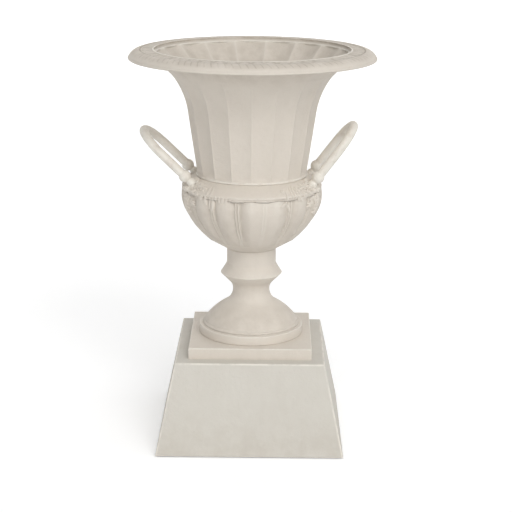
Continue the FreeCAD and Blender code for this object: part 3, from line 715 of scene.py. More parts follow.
def make_lip_gadroon(sizes, paint):
    """Worn radial strokes on the lip's rounded face, between its ridge and its smooth lower bead."""
    across = np.linspace(0, 1, 17)
    top = bow(OVOLO_LOW, RIDGE, -OVOLO_BULGE, ORNAMENT_ROWS - 1)
    share = np.linspace(0, 1, ORNAMENT_ROWS)[:, None]
    beside = np.abs((across + 0.9 * share) % 1.0 - 0.5)
    tongue = 1 - (1 - bump(beside, 0, 0.5)) * ramp(share, 0.18, 0.42)
    groove = 1 - 1.6 * bump(share, 0.93, 0.05)
    edge = highest(ramp(share, 0.12, 0.06), ramp(share, 0.96, 0.99))
    raised = highest(tongue * ramp(share, 0.95, 0.9) * ramp(share, 0.04, 0.1), edge) * groove
    # Painted highlight along the ridge at the top of the roll, the lower part a little lighter; painted
    # shade in the groove under the ridge, between the strokes and over the upper part of the roll.
    worn = 0.1 * ramp(share, 0.35, 0.1) + 0.5 * ramp(share, 0.97, 1.0)
    grime = (0.12 + 0.2 * ramp(share, 0.1, 0.5) + 0.35 * ramp(raised, 0.75, 0.3)
             + 0.8 * bump(share, 0.93, 0.06))
    return relief_ring("lip_gadroon", top, across, sizes.stroke_count, raised - 1.0, sizes.stroke_relief,
                       paint, worn, grime)


def make_leaf_border(sizes, paint):
    """Worn pointed leaves on the top of the lip, between two plain rims."""
    across = mirrored([0, 0.03, 0.06, 0.09, 0.12, 0.16, 0.2, 0.24, 0.28, 0.32, 0.36, 0.4, 0.43, 0.46, 0.48,
                       0.5])
    top = straight(RIDGE, (BAND_INNER + 0.6, LIP_TOP), ORNAMENT_ROWS - 1)
    share = np.linspace(0, 1, ORNAMENT_ROWS)[:, None]
    beside = np.abs(across - 0.5)[None, :]
    along = np.clip((share - 0.09) / 0.74, 0, 1)
    half = 0.43 * np.sqrt(np.clip(along * (1 - along) * 4, 0, 1)) * (1.1 - 0.55 * along)
    inner = np.clip(beside / np.maximum(half, 1e-3), 0, 1)
    leaf = ramp(inner, 1.0, 0.72) * (0.55 + 0.25 * inner)
    leaf = np.maximum(leaf, 0.95 * bump(beside, 0, 0.05) * ramp(share, 0.88, 0.8) * ramp(share, 0.06, 0.12))
    vein = 0.16 * np.cos(TURN * (share * 4.5 + beside * 3.4)) * ramp(inner, 1.0, 0.8)
    edge = np.minimum(across, 1 - across)[None, :]
    bud = 0.75 * bump(edge, 0, 0.10) * bump(share, 0.72, 0.16)
    border = np.maximum(0.6 * ramp(share, 0.075, 0.045), ramp(share, 0.86, 0.91))
    raised = highest(0.55 * np.clip(leaf + vein * (leaf > 0), 0, 0.95), 0.55 * bud, border)
    # Painted highlight on the inner rim, with the raised leaves a little lighter; painted shade over the
    # rest of the band, deeper between the leaves.
    worn = 0.15 * ramp(raised, 0.3, 0.5) + 0.7 * ramp(share, 0.86, 0.9)
    grime = (0.3 * ramp(raised, 0.3, 0.0) + 0.35) * ramp(share, 0.91, 0.85)
    return relief_ring("lip_leaf_border", top, across, sizes.leaf_count, raised - 1.0, sizes.border_relief,
                       paint, worn, grime)


# ---------------------------------------------------------------- bowl: lobes, reeds, shoulder and leaves
# Millimetres off the axis and over the bowl's underside.
LOBE_FOOT = (86.0, 22.0)
LOBE_TOP = 121.0
WIDEST = (136.6, 104.0)
CROWN_REACH = 13.0
SHOULDER_TOP = (107.5, 145.0)
FIRST_VALLEY = FRONT - TURN / (2 * LOBES)
FLOOR_THICK, FLOOR_RADIUS = 5.0, 30.4
FLOOR_HOLES = ((0, 6.3), (-22, 4.5), (22, 4.5))


def bowl_crest(height):
    """Outer radius over the middle of the lobes."""
    below = np.clip((WIDEST[1] - height) / (WIDEST[1] - LOBE_FOOT[1]), 0, 1)
    above = np.clip((height - WIDEST[1]) / (LOBE_TOP - WIDEST[1]), 0, 1)
    return WIDEST[0] - (WIDEST[0] - LOBE_FOOT[0]) * below ** 1.85 - 1.2 * above ** 2


def lobe_section(across, height):
    """Depth below the crests as a share: full lobes with rounded tops, and two reeds in each valley."""
    length_share = np.clip((height - LOBE_FOOT[1]) / (LOBE_TOP - LOBE_FOOT[1]), 0, 1)
    edge = np.minimum(across, 1 - across)
    strip = 0.105 + 0.03 * (1 - length_share)
    beside = np.clip((0.5 - edge) / (0.5 - strip), 0, 1)
    end = np.clip((height - LOBE_TOP + CROWN_REACH) / CROWN_REACH, 0, 1)
    lobe = 1 - np.sqrt(np.clip(1 - beside ** 2 - (0.5 * end) ** 2, 0, 1))
    lobe = 0.55 * lobe + 0.45 * (beside ** 2 + 0.2 * end ** 2)
    floor = 0.74 - 0.3 * bump(edge, 0.05, 0.04) * ramp(length_share, 1.0, 0.93)
    foot = np.clip(length_share * 2.4, 0, 1) ** 0.7
    crown = 1 - 0.5 * ramp(height, LOBE_TOP - 5, LOBE_TOP)
    return np.minimum(lobe, floor) * foot * crown


def shoulder_rows():
    """Outside of the sloping shoulder, from the quirk over the lobes to the ring under the bell's foot."""
    quirk = np.array([(133.4, 121.0), (133.3, 121.3), (133.3, 121.6), (133.6, 121.9)])
    nose = turn_arc((132.6, 125.2), 3.0, -65, 52, 8)
    slope = bow(nose[-1], SHOULDER_TOP, -0.7, 20)
    return np.vstack((quirk, nose, slope[1:]))


def bowl_outline():
    """Closed outline of the bowl along its crests, and the rows that the lobes take up."""
    slant = soften(np.array([(48, 0), (52, 2.0), (84, 20.9)]), 1.5, closed=False)
    under = join(straight((30, 0), (48, 0), 2), slant, straight((84, 20.9), LOBE_FOOT, 1))
    share = np.linspace(0, 1, 58)
    heights = LOBE_FOOT[1] + (LOBE_TOP - 0.8 - LOBE_FOOT[1]) * np.sin(math.pi / 2 * share) ** 0.94
    lobes = np.column_stack((bowl_crest(heights), heights))
    inside = np.array([(84, 145), (82.6, 144.6), (82.3, 143.5), (82.3, 140.5), (82.8, 139.2), (84, 139),
                       (112, 139), (117.5, 134.5), (121.5, 126), (123.4, 112), (122.8, 98), (119, 82),
                       (111, 65), (99, 48), (84, 33), (66, 20.5), (52, 13), (46.5, 10.6), (44, 10),
                       (30, 10)])
    outline = np.vstack((under[:-1], lobes, shoulder_rows(), inside))
    first = len(under) - 1
    return outline, slice(first, first + len(lobes))


def make_bowl(sizes, paint):
    across = mirrored([0, 0.012, 0.024, 0.036, 0.048, 0.06, 0.072, 0.084, 0.096, 0.108, 0.12, 0.135, 0.155,
                       0.18, 0.21, 0.25, 0.3, 0.36, 0.43, 0.5])
    outline, lobe_rows = bowl_outline()
    height = outline[:, 1][:, None]
    on_lobes = np.zeros_like(height)
    on_lobes[lobe_rows] = 1
    hollow = on_lobes * lobe_section(across[None, :], height)
    # The lobes are darker overall and towards the bottom, with painted shade in the valleys between them.
    # Painted highlights on the lobes' crowns and the reeds, and a little on the shoulder's roll.
    grime = 0.2 * on_lobes + 0.12 * ramp(hollow, 0.35, 0.74) + 0.12 * ramp(height, 30, 4)
    reeds = on_lobes * ramp(hollow, 0.6, 0.46) * ramp(np.minimum(across, 1 - across), 0.1, 0.08)
    crown = on_lobes * ramp(hollow, 0.25, 0.05) * ramp(height, 80, 112)
    roll = ramp(np.abs(height - 126), 6, 1) * (outline[:, :1] > 130) * (1 - on_lobes)
    worn = 0.1 * roll + 0.3 * reeds + 0.3 * crown
    bowl = ring_piece("bowl_casting", outline + (0, BOWL_Z / MM), across, sizes.lobe_count, FIRST_VALLEY,
                      paint, hollow=hollow, hollow_depth=sizes.lobe_depth, worn=worn, grime=grime)
    fill_valley(bowl, sizes.lobe_depth / MM)
    return bowl


def fill_valley(bowl, depth):
    """Nearly fill the valley right of the front, as the casting does."""
    mesh = bowl.data
    places = np.empty(len(mesh.vertices) * 3)
    mesh.vertices.foreach_get("co", places)
    places = places.reshape(-1, 3)
    radius = np.hypot(places[:, 0], places[:, 1])
    height = (places[:, 2] - BOWL_Z) / MM
    turned = np.arctan2(places[:, 1], places[:, 0]) - FRONT
    share = np.clip(1 - ((turned - TURN / (2 * LOBES)) / (TURN / 26)) ** 2, 0, 1)
    outer = (height > LOBE_FOOT[1]) & (height < LOBE_TOP) & (radius > (bowl_crest(height) - depth) * MM)
    level = (bowl_crest(height) - 0.9 - 0.7 * ramp(height, LOBE_TOP - 8, LOBE_TOP)) * MM
    grown = radius + outer * 0.75 * ramp(share, 0.0, 0.5) * np.clip(level - radius, 0, None)
    places[:, :2] *= (grown / radius)[:, None]
    mesh.vertices.foreach_set("co", places.ravel())
    dirt_and_shade = mesh.attributes["grime"].data
    values = np.empty(len(dirt_and_shade))
    dirt_and_shade.foreach_get("value", values)
    dirt_and_shade.foreach_set("value", values * (1 - 0.85 * outer * ramp(share, 0.0, 0.4)))
    mesh.update()


def make_bowl_floor(paint):
    """Disc in the bowl's floor with the tie rod's hole and the two weep holes."""
    shape = bpy.data.curves.new("bowl_floor", "CURVE")
    shape.dimensions = "2D"
    shape.fill_mode = "BOTH"
    shape.extrude = FLOOR_THICK * MM
    for centre, radius in ((0, FLOOR_RADIUS), *FLOOR_HOLES):
        spline = shape.splines.new("POLY")
        points = turn_arc((centre, 0), radius, 0, 360, 64)[:-1] * MM
        spline.points.add(len(points) - 1)
        spline.points.foreach_set("co", np.column_stack((points, np.zeros(64), np.ones(64))).ravel())
        spline.use_cyclic_u = True
    flat = bpy.data.objects.new("bowl_floor_curve", shape)
    mesh = bpy.data.meshes.new_from_object(flat)
    bpy.data.objects.remove(flat)
    bpy.data.curves.remove(shape)
    mesh.transform(Matrix.Translation((0, 0, BOWL_Z + FLOOR_THICK * MM)))
    mesh.materials.append(paint)
    return new_piece("bowl_floor", mesh)


def bowl_surface(angle, along):
    """Place on the bowl, by angle from the front and length down from the bell's foot."""
    outline, _ = bowl_outline()
    first = int(np.argmin(np.hypot(*(outline - SHOULDER_TOP).T)))
    outside = outline[:first + 1][::-1]
    in_quirk = (np.abs(outside[:, 1] - 122) < 1.05) & (outside[:, 0] < 134)
    outside = outside[~in_quirk]
    steps = np.r_[0, np.cumsum(np.hypot(*np.diff(outside, axis=0).T))]
    radius = np.interp(along, steps, outside[:, 0])
    height = np.interp(along, steps, outside[:, 1])
    sector = ((angle + FRONT - FIRST_VALLEY) / (TURN / LOBES)) % 1.0
    radius = radius - LOBE_DEPTH * lobe_section(sector, height) * (height < LOBE_TOP)
    turn = angle + FRONT
    return np.stack((radius * np.cos(turn), radius * np.sin(turn), height + BOWL_Z / MM), axis=-1)


def quadratic(path, share):
    """Points at the given shares of a quadratic curve with three control points."""
    return (np.outer((1 - share) ** 2, path[0]) + np.outer(2 * share * (1 - share), path[1])
            + np.outer(share ** 2, path[2]))


STROKE_STEPS, BLUNT = 40, 0.25


def stroke(east, down, points, width, height, groove=0.0):
    """Raised tapering stroke along a curve, on a field of places measured in millimetres."""
    fine = np.linspace(0, 1, STROKE_STEPS)
    curve = quadratic(np.array(points, float), fine)
    profile = np.sin(np.pi * np.clip(fine * 0.86 + 0.14, 0, 1)) ** 0.7
    distance = np.hypot(east[..., None] - curve[:, 0], down[..., None] - curve[:, 1])
    nearest = (distance / (width * profile + BLUNT)).argmin(axis=-1)
    reach = np.take_along_axis(distance, nearest[..., None], axis=-1)[..., 0]
    half = width * profile[nearest] + BLUNT
    field = bump(reach, 0, half) * height
    return field - groove * height * np.clip(1 - reach / (0.3 * half), 0, 1) * (field > 0)


def strokes(east, down, *rows):
    """The highest of several strokes, each given by its points, width, height and groove."""
    return highest(*(stroke(east, down, *row) for row in rows))


PATCH_SINK, FIELD_SINK, BED = 3.5, 0.7, 0.25
# Raised leaves are lightened as rubbed paint and painted highlight; the sunk field between them is darkened
# as dirt and painted shade.
LEAF_WEAR_AND_HIGHLIGHT, LEAF_GRIME_AND_SHADE = 0.6, 0.25


def relief_patch(name, side, angles, lengths, columns, rows, field, height, paint):
    """Closed patch over the bowl: raised where its field is above nothing, sunk elsewhere.

    Angles are degrees from the front and lengths millimetres down from the bell's foot.
    """
    angle = np.radians(np.linspace(*angles, columns))[None, :] * np.ones((rows, 1))
    along = np.linspace(*lengths, rows)[:, None] * np.ones((1, columns))
    raised = field(angle * WIDEST[0], along)
    surface = bowl_surface(angle, along)
    smooth = np.cross(np.gradient(surface, axis=0), np.gradient(surface, axis=1))
    smooth /= np.linalg.norm(smooth, axis=-1, keepdims=True)
    for _ in range(6):
        padded = np.pad(smooth, ((1, 1), (1, 1), (0, 0)), mode="edge")
        smooth = (padded[:-2, 1:-1] + padded[2:, 1:-1] + padded[1:-1, :-2] + padded[1:-1, 2:]
                  + padded[1:-1, 1:-1]) / 5
    smooth /= np.linalg.norm(smooth, axis=-1, keepdims=True)
    top = surface + smooth * (raised * height / MM - FIELD_SINK * (raised <= 0.02) - BED)[..., None]
    bottom = surface - smooth * PATCH_SINK
    faces = grid_faces(rows, columns)
    count = rows * columns
    index = np.arange(count).reshape(rows, columns)
    rim = np.r_[index[0], index[1:, -1], index[-1, -2::-1], index[-2:0:-1, 0]].tolist()
    closed = [face[::-1] for face in faces] + [tuple(corner + count for corner in face) for face in faces]
    closed += [(here, there, there + count, here + count) for here, there in zip(rim, rim[1:] + rim[:1])]
    values = np.zeros((2, rows, columns))
    values[0] = raised
    mesh = new_mesh(name, np.concatenate((top.reshape(-1, 3), bottom.reshape(-1, 3))) * MM, closed,
                    worn=(LEAF_WEAR_AND_HIGHLIGHT * ramp(values, 0.5, 1.1)).ravel(),
                    grime=(LEAF_GRIME_AND_SHADE * ramp(values, 0.45, 0.1)).ravel())
    mesh.transform(Matrix.Rotation(math.pi if side == "back" else 0.0, 4, "Z"))
    smooth_shaded(mesh)
    mesh.materials.append(paint)
    return new_piece(name, mesh)


def frond(east, down, spine, count, reach, width):
    """Leaf with paired leaflets along a curved spine, shorter towards its tip."""
    start, middle, end = (np.array(point, float) for point in spine)
    rows = [(spine, width * 0.9, 0.95, 0.35)]
    for index in range(count):
        share = (index + 0.35) / count
        place = start * (1 - share) ** 2 + middle * 2 * share * (1 - share) + end * share ** 2
        way = (middle - start) * (1 - share) + (end - middle) * share
        way /= np.hypot(*way)
        size = reach * (1 - 0.62 * share)
        for side in (np.array((-way[1], way[0])), np.array((way[1], -way[0]))):
            tip = place + (way * 0.75 + side) * size * 0.8
            rows.append(((place, place + side * size * 0.495, tip), width, 0.8, 0.25))
    return strokes(east, down, *rows)


def volute(east, down, centre, radius):
    """Rolled scroll: a spiral ridge that winds in to a round eye."""
    reach = np.hypot(east - centre[0], down - centre[1])
    angle = np.arctan2(down - centre[1], east - centre[0])
    ridge = np.cos(math.pi * (reach / (0.45 * radius) - angle / TURN)) ** 2
    eye = 1.2 * bump(reach, 0, 0.28 * radius)
    return highest(0.3 + 0.6 * ridge, eye) * ramp(reach, radius * 1.08, radius * 0.92)


def leaf_mass(east, down):
    """Curled leaves from the seat of a handle's leg along the shoulder and down over the lobes."""
    leaves = ((((152, 24), (126, 10), (100, 24)), 5, 15, 3.3),
              (((150, 34), (124, 34), (98, 44)), 4, 12, 3.0),
              (((160, 40), (162, 62), (150, 82)), 5, 14, 3.2),
              (((148, 42), (138, 56), (122, 66)), 4, 11, 2.8),
              (((172, 20), (184, 34), (186, 54)), 4, 14, 3.2))
    return highest(*(frond(east, down, *leaf) for leaf in leaves))


def seat_rosette(east, down):
    """Curled leaves round the seat of a handle's leg."""
    centre = np.array((159.0, 20.0))
    rows = []
    for index in range(9):
        turn = TURN * index / 9 + 0.2
        way = np.array((math.cos(turn), math.sin(turn)))
        side = np.array((-way[1], way[0]))
        tip = centre + way * (15 + 2 * (index % 2)) - side * 5
        rows.append(((centre + way * 9, centre + way * 18 + side * 2, tip), 4.4, 1.5, 0.25))
    return strokes(east, down, *rows)


def scroll_end(east, down):
    """Scroll on its stem with tall tongues beside it, where the right-hand leaves begin."""
    tongues = ((((place + 1, low), (place, 26), (place + 3, top)), 3.0, 0.75, 0.3)
               for place, top, low in ((84, 12, 42), (91, 9, 43), (98, 12, 45)))
    return highest(volute(east, down, (69, 20.5), 7.0),
                   strokes(east, down, (((74, 22), (73, 36), (70, 48)), 2.6, 0.9),
                           (((70, 46), (64, 50), (57, 53)), 2.6, 0.8, 0.2),
                           (((71, 47), (76, 54), (78, 64)), 3.0, 0.8, 0.3), *tongues))


def left_end(east, down):
    """Pointed leaf tips that hang under the quirk and the leaves over them, on the left (mirrored)."""
    return strokes(east, down, (((77, 40), (76, 50), (80, 68)), 3.8, 0.95, 0.35),
                   (((84, 38), (87, 48), (84, 60)), 3.2, 0.8, 0.3),
                   (((94, 36), (96, 46), (92, 54)), 3.4, 0.8, 0.3),
                   (((86, 14), (80, 26), (82, 38)), 3.0, 0.5, 0.3),
                   (((96, 10), (91, 22), (92, 36)), 3.0, 0.45, 0.3))


def shoulder_fringe(east, down):
    """Short upright tongues on the shoulder just over the quirk, fading towards the front."""
    rows = []
    for index in range(5):
        place = -70 + index * 7.4
        rows.append((((place, 44), (place, 39), (place + 0.5, 32)), 3.2, 0.95 - 0.13 * index, 0.2))
    return strokes(east, down, *rows)


SPRAY_ANGLES, SPRAY_LENGTHS, SPRAY_GRID = (22, 86), (3, 96), (210, 128)
FRINGE_ANGLES, FRINGE_LENGTHS, FRINGE_GRID = (-31.5, -12), (28, 46), (100, 34)
FRINGE_SHARE = 0.7


def make_leaves(sizes, paint):
    """Leaves, rosettes, scrolls and fringes of the front, and the same turned half round for the back."""
    pieces = []
    for side in ("front", "back"):
        for hand, sign, end in (("right", 1, scroll_end), ("left", -1, left_end)):
            spray = (lambda east, down, sign=sign, end=end:
                     highest(*(part(sign * east, down) for part in (leaf_mass, seat_rosette, end))))
            angles = sorted(sign * angle for angle in SPRAY_ANGLES)
            pieces.append(relief_patch("leaf_spray_" + side + "_" + hand, side, angles, SPRAY_LENGTHS,
                                       *SPRAY_GRID, spray, sizes.leaf_relief, paint))
        pieces.append(relief_patch("shoulder_fringe_" + side, side, FRINGE_ANGLES, FRINGE_LENGTHS,
                                   *FRINGE_GRID, shoulder_fringe, sizes.leaf_relief * FRINGE_SHARE, paint))
    return pieces


# ---------------------------------------------------------------- handles
HANDLES = {"left": (-1, math.radians(44)), "right": (1, math.radians(53))}
LARGE_BALL, SMALL_BALL, BALL_NECK = 11.75, 8.5, 6.5
BALL_OFFSET, FOOT_DEPTH = 17.0, 22.0
LEG_APART, LOOP_LENGTH = 54.5, 113.0
ROOT = (126.7, 151.2)
HANDLE_SIDES, HANDLE_LIGHTENING = 40, 1.5


def leg_radius(place):
    """Radius of a handle's leg by distance from its large ball, negative towards the bowl."""
    place = np.asarray(place, float)
    bar = np.where(place >= 0, sizes().bar_thickness / MM / 2, BALL_NECK)
    bar = np.where(place <= -BALL_OFFSET, SMALL_BALL, bar)
    large = np.sqrt(np.clip(LARGE_BALL ** 2 - place ** 2, 0, None))
    small = np.sqrt(np.clip(SMALL_BALL ** 2 - (place + BALL_OFFSET) ** 2, 0, None))
    return highest(bar, large, small)


def make_handle(side, thickness, paint):
    """Bar swept along one leg with its two balls, round the loop and down the other leg."""
    sign, lean = HANDLES[side]
    direction = np.array((sign * math.cos(lean), 0, math.sin(lean)))
    root = np.array((sign * ROOT[0], 0, BOWL_Z / MM + ROOT[1]))
    straight_end = LOOP_LENGTH - LEG_APART
    near = np.r_[-FOOT_DEPTH, np.arange(-21.5, 14, 0.5), np.arange(14, straight_end, 3.0)]
    leg = np.column_stack((near, np.full(len(near), -LEG_APART)))
    bend = np.radians(np.linspace(-90, 90, 49))
    loop = np.column_stack((straight_end + LEG_APART * np.cos(bend), LEG_APART * np.sin(bend)))
    far = leg[::-1] * (1, -1)
    flat = np.vstack((leg, loop, far))
    half = thickness / MM / 2
    swell = np.r_[leg_radius(near), np.full(len(loop), half), leg_radius(near[::-1])]
    points = root + flat[:, :1] * direction + flat[:, 1:] * (0, 1, 0)
    edges = [(index, index + 1) for index in range(len(points) - 1)]
    mesh = new_mesh("handle_" + side + "_loop", points * MM, [], edges, swell=swell / half)
    piece = shape_with(new_piece(mesh.name, mesh), shared_group("Bar along a path", bar_tree),
                       Thickness=thickness, Sides=HANDLE_SIDES, Material=paint)
    # Painted light: the whole loop is lightened towards the worn-edge colour, in patches.
    rubbed_and_lit = piece.data.attributes.new("worn", "FLOAT", "POINT")
    rubbed_and_lit.data.foreach_set("value", np.full(len(piece.data.vertices), HANDLE_LIGHTENING))
    return piece


# ---------------------------------------------------------------- stem
STEM_BORE, STEM_SECTORS = 29.5, 9
STEM_WAIST, DOME_TOP, COVE, COLLAR = (36, 88), (52, 61), 22, 58.8


def stem_outline():
    """Closed outline of the stem: foot ring, dome, waist, collar and neck, in millimetres over its foot."""
    narrow, level = STEM_WAIST
    scotia = (narrow + COVE * (1 - math.sqrt(0.5)), level + COVE * math.sqrt(0.5))
    collar_height = scotia[1] + COLLAR - scotia[0] + 1.5
    across, rise = DOME_TOP[0] - narrow, level - DOME_TOP[1]
    hollow_radius = (across ** 2 + rise ** 2) / (2 * across)
    reach = math.degrees(math.asin(rise / hollow_radius))
    waist = turn_arc((narrow + hollow_radius, level), hollow_radius, 180 + reach, 180, 12)
    cove = turn_arc((narrow + COVE, level), COVE, 180, 135, 8)
    dome = bow((95, 21), DOME_TOP, -3.7, 16)
    ring = np.array([(STEM_BORE, 0), (102, 0), (102, 18), (95, 18)])
    corner = np.array([(COLLAR, collar_height - 1.5), (60.3, collar_height), (COLLAR, collar_height + 1.5)])
    top = np.array([(48, 141), (48, 172), (STEM_BORE, 172)])
    groove = np.array([(93.2, 23.1), (91.6, 23.6)])
    outline = join(ring, dome[:1], groove, dome[2:], waist[1:], cove[1:], corner, top)
    return soften(outline, 1.6)


def make_stem(paint):
    outline = stem_outline()
    height, radius = outline[:, 1][:, None], outline[:, :1]
    # Painted shade under the collar; a dark line in the groove between ring and dome; darker over the dome,
    # at the top of the neck and at the very bottom. The collar's corner and the ring's top edge are
    # lightened.
    grime = (0.25 * ramp(np.abs(height - 20.5), 3, 0.5) * (radius < 97)
             + 0.1 * ramp(np.abs(height - 92), 26, 6)
             + 0.15 * ramp(np.abs(height - 106), 5, 1) * (radius < 47) + 0.2 * ramp(height, 3, 0)
             + 0.2 * ramp(height, 169, 172) + 0.22 * ramp(height, 64, 48) * ramp(height, 22, 27))
    worn = (0.6 * ramp(np.hypot(radius - 60.3, height - 121.5), 4, 1)
            + 0.4 * ramp(np.hypot(radius - 102, height - 18), 4, 1))
    return ring_piece("stem_casting", outline + (0, FOOT_Z / MM), np.linspace(0, 1, 13), STEM_SECTORS,
                      FRONT, paint, worn=worn, grime=grime)


# ---------------------------------------------------------------- operators
REDRAWN = ("bell", "bowl", "stem", "handle_left", "handle_right")
DECK_MARGIN = 0.0245


class UrnOperator:
    bl_options = {"REGISTER", "UNDO"}

    def execute(self, context):
        self.make(context)
        return {"FINISHED"}


class URN_OT_bell(UrnOperator, bpy.types.Operator):
    """Make the fluted bell and the ornament of its lip"""
    bl_idname = "urn.bell"
    bl_label = "Bell and lip"

    def make(self, context):
        paint = urn_paint()
        for piece in (make_bell(sizes(), paint), make_lip_gadroon(sizes(), paint),
                      make_leaf_border(sizes(), paint)):
            settle(piece, "cast_paint", "bell")


class URN_OT_bowl(UrnOperator, bpy.types.Operator):
    """Make the gadrooned bowl with its reeds, shoulder and floor"""
    bl_idname = "urn.bowl"
    bl_label = "Bowl"

    def make(self, context):
        paint = urn_paint()
        for piece in (make_bowl(sizes(), paint), make_bowl_floor(paint)):
            settle(piece, "cast_paint", "bowl")


class URN_OT_leaves(UrnOperator, bpy.types.Operator):
    """Make the leaf sprays, rosettes and fringes on the bowl's shoulder"""
    bl_idname = "urn.leaves"
    bl_label = "Shoulder leaves"

    def make(self, context):
        for piece in make_leaves(sizes(), urn_paint()):
            settle(piece, "cast_paint", "bowl")


class URN_OT_handles(UrnOperator, bpy.types.Operator):
    """Make the two loop handles"""
    bl_idname = "urn.handles"
    bl_label = "Handles"

    def make(self, context):
        for side in HANDLES:
            settle(make_handle(side, sizes().bar_thickness, urn_paint()), "cast_paint", "handle_" + side)


class URN_OT_stem(UrnOperator, bpy.types.Operator):
    """Make the turned stem and foot"""
    bl_idname = "urn.stem"
    bl_label = "Stem"

    def make(self, context):
        settle(make_stem(urn_paint()), "cast_paint", "stem")


class URN_OT_finishes(UrnOperator, bpy.types.Operator):
    """Paint the square castings and finish the steel and rubber parts"""
    bl_idname = "urn.finishes"
    bl_label = "Other finishes"

    def make(self, context):
        tints = colours()
        plate = paint_material("plate_cast_paint", tints.urn_paint, grain=1.0, streaks=0.3, block=dict(
            Bottom_Half=PLATE_HALF, Top_Half=PLATE_HALF, Bottom=PLATE_Z, Top=FOOT_Z, Edge_Width=0.003,
            Foot_Height=0.006))
        pedestal = paint_material("pedestal_cast_paint", tints.pedestal_paint, 0.8, 0.6, block=dict(
            Bottom_Half=PEDESTAL_HALF, Top_Half=PLATE_HALF + DECK_MARGIN, Bottom=PEDESTAL_Z, Top=PLATE_Z,
            Edge_Width=0.0045, Foot_Height=0.11))
        steel = fine_material("zinc_steel", tints.steel, shaded(tints.steel, 0.6), metallic=1.0,
                              rough_low=0.28, rough_high=0.5, bump_distance=0.00008)
        rubber = fine_material("pad_rubber", tints.rubber, shaded(tints.rubber, 1.7), metallic=0.0,
                               rough_low=0.6, rough_high=0.85, bump_distance=0.0002)
        finishes = {"plinth_plate": plate, "pedestal": pedestal, "pedestal_pads": rubber,
                    "tie_rod_seal": rubber}
        for name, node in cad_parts.items():
            if name not in REDRAWN:
                for slot in node.material_slots:
                    slot.material = finishes.get(name, steel)


FLOOR_WIDTH, FLOOR_NEAR, FLOOR_FAR, BACK_HEIGHT = 7.0, -6.0, 7.0, 9.0
SWEEP_START, SWEEP_RADIUS = 4.5, 2.5
FLOOR_GLOW, WORLD_GLOW = 0.245, 0.44
# Name, azimuth from the front, elevation, spread in degrees, strength.
LAMPS = (("key_light", 25, 33, 28, 0.92), ("fill_light", 0, 8, 35, 0.54), ("top_light", 0, 58, 45, 0.45),
         ("side_light", 75, 45, 40, 0.22))
# From the photograph's straight edges: metres from the axis and over the floor, then angles in degrees.
CAMERA_DISTANCE, CAMERA_HEIGHT = 2.7439, 1.0984
SWING, PAN, PITCH, ROLL = 0.71, 0.19, 15.22, 0.40
LENS, SENSOR = 101.6, 36.0


def seen(tree):
    """1 for what the camera and reflections see, 0 for the light that falls on things."""
    path = tree.add("ShaderNodeLightPath").outputs
    return tree.math("MAXIMUM", path["Is Camera Ray"], path["Is Glossy Ray"])


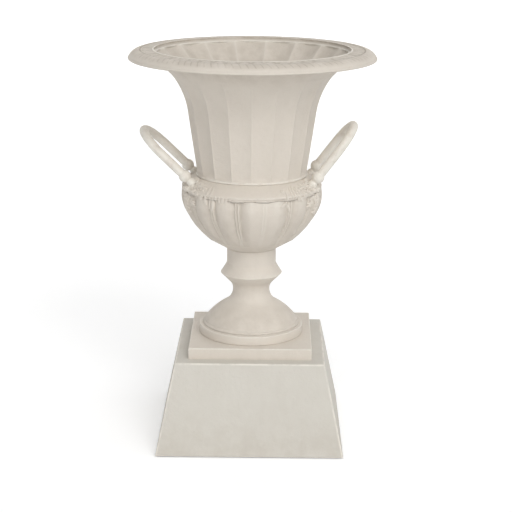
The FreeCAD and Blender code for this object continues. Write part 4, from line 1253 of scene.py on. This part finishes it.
class URN_OT_stage(UrnOperator, bpy.types.Operator):
    """Set up the floor, the studio light and the camera"""
    bl_idname = "urn.stage"
    bl_label = "Stage"

    def make(self, context):
        self.floor()
        self.lights(context.scene)
        self.camera(context.scene)

    def floor(self):
        """Floor that sweeps up into a backdrop."""
        curve = turn_arc((SWEEP_START, SWEEP_RADIUS), SWEEP_RADIUS, -90, 0, 24)
        sweep = np.vstack(([(FLOOR_NEAR, 0.0)], curve, [(FLOOR_FAR, BACK_HEIGHT)]))
        sides = [(side, depth, height) for side in (-FLOOR_WIDTH, FLOOR_WIDTH) for depth, height in sweep]
        count = len(sweep)
        faces = [(index, index + count, index + count + 1, index + 1) for index in range(count - 1)]
        mesh = new_mesh("studio_floor", sides, faces)
        smooth_shaded(mesh)
        floor = new_piece("studio_floor", mesh)
        material = bpy.data.materials.new("studio_white")
        material.use_nodes = True
        tree = Tree(material.node_tree)
        tree.named(material.node_tree.nodes["Principled BSDF"], Base_Color=colours().floor, Roughness=0.9,
                   Specular_IOR_Level=0.1, Emission_Color=(1, 1, 1, 1),
                   Emission_Strength=tree.times(seen(tree), FLOOR_GLOW))
        mesh.materials.append(material)

    def lights(self, scene):
        for name, azimuth, elevation, spread_angle, strength in LAMPS:
            lamp = bpy.data.lights.new(name, "SUN")
            lamp.energy = strength
            lamp.angle = math.radians(spread_angle)
            holder = new_piece(name, lamp)
            round_z, up = math.radians(azimuth), math.radians(elevation)
            way = Vector((math.sin(round_z) * math.cos(up), -math.cos(round_z) * math.cos(up),
                          math.sin(up)))
            holder.rotation_euler = way.to_track_quat("Z", "Y").to_euler()
        scene.world = bpy.data.worlds.new("studio_world")
        scene.world.use_nodes = True
        tree = Tree(scene.world.node_tree)
        glow = tree.named(tree.add("ShaderNodeMapRange"), To_Min=WORLD_GLOW, To_Max=1.0, Value=seen(tree))
        tree.named(scene.world.node_tree.nodes["Background"], Color=(1, 1, 1, 1), Strength=glow.outputs[0])

    def camera(self, scene):
        """Camera at the place and turn that the photograph's straight edges give."""
        swing, pan, pitch, roll = (math.radians(value) for value in (SWING, PAN, PITCH, ROLL))
        place = Vector((math.sin(swing), -math.cos(swing), 0)) * CAMERA_DISTANCE
        place.z = CAMERA_HEIGHT
        heading = math.atan2(-place.x, -place.y) + pan
        forward = Vector((math.sin(heading) * math.cos(pitch), math.cos(heading) * math.cos(pitch),
                          -math.sin(pitch)))
        right = Vector((math.cos(heading), -math.sin(heading), 0))
        up = right.cross(forward)
        right, up = (right * math.cos(roll) + up * math.sin(roll),
                     up * math.cos(roll) - right * math.sin(roll))
        turn = Matrix((right, up, -forward)).transposed().to_4x4()
        lens = bpy.data.cameras.new("photo_camera")
        lens.lens = LENS
        lens.sensor_width = SENSOR
        lens.sensor_fit = "HORIZONTAL"
        camera = new_piece("photo_camera", lens)
        camera.matrix_world = Matrix.Translation(place) @ turn
        scene.camera = camera
        scene.view_settings.view_transform = "Standard"


MAKERS = (URN_OT_bell, URN_OT_bowl, URN_OT_leaves, URN_OT_handles, URN_OT_stem, URN_OT_finishes,
          URN_OT_stage)


class URN_PT_panel(bpy.types.Panel):
    """Sizes, colours and makers of the urn"""
    bl_idname = "URN_PT_panel"
    bl_label = "Garden urn"
    bl_space_type = "VIEW_3D"
    bl_region_type = "UI"
    bl_category = "Urn"

    def draw(self, context):
        for group in (context.scene.urn_sizes, context.scene.urn_colours):
            box = self.layout.box()
            for name in group.bl_rna.properties.keys():
                if name not in ("rna_type", "name"):
                    box.prop(group, name)
        for maker in MAKERS:
            self.layout.operator(maker.bl_idname)


CLASSES = (UrnSizes, UrnColours, *MAKERS, URN_PT_panel)


def register():
    for entry in CLASSES:
        bpy.utils.register_class(entry)
    bpy.types.Scene.urn_sizes = bpy.props.PointerProperty(type=UrnSizes)
    bpy.types.Scene.urn_colours = bpy.props.PointerProperty(type=UrnColours)


def unregister():
    del bpy.types.Scene.urn_colours
    del bpy.types.Scene.urn_sizes
    for entry in reversed(CLASSES):
        bpy.utils.unregister_class(entry)


def main():
    register()
    for maker in MAKERS:
        group, name = maker.bl_idname.split(".")
        getattr(getattr(bpy.ops, group), name)()


if __name__ == "__main__":
    main()
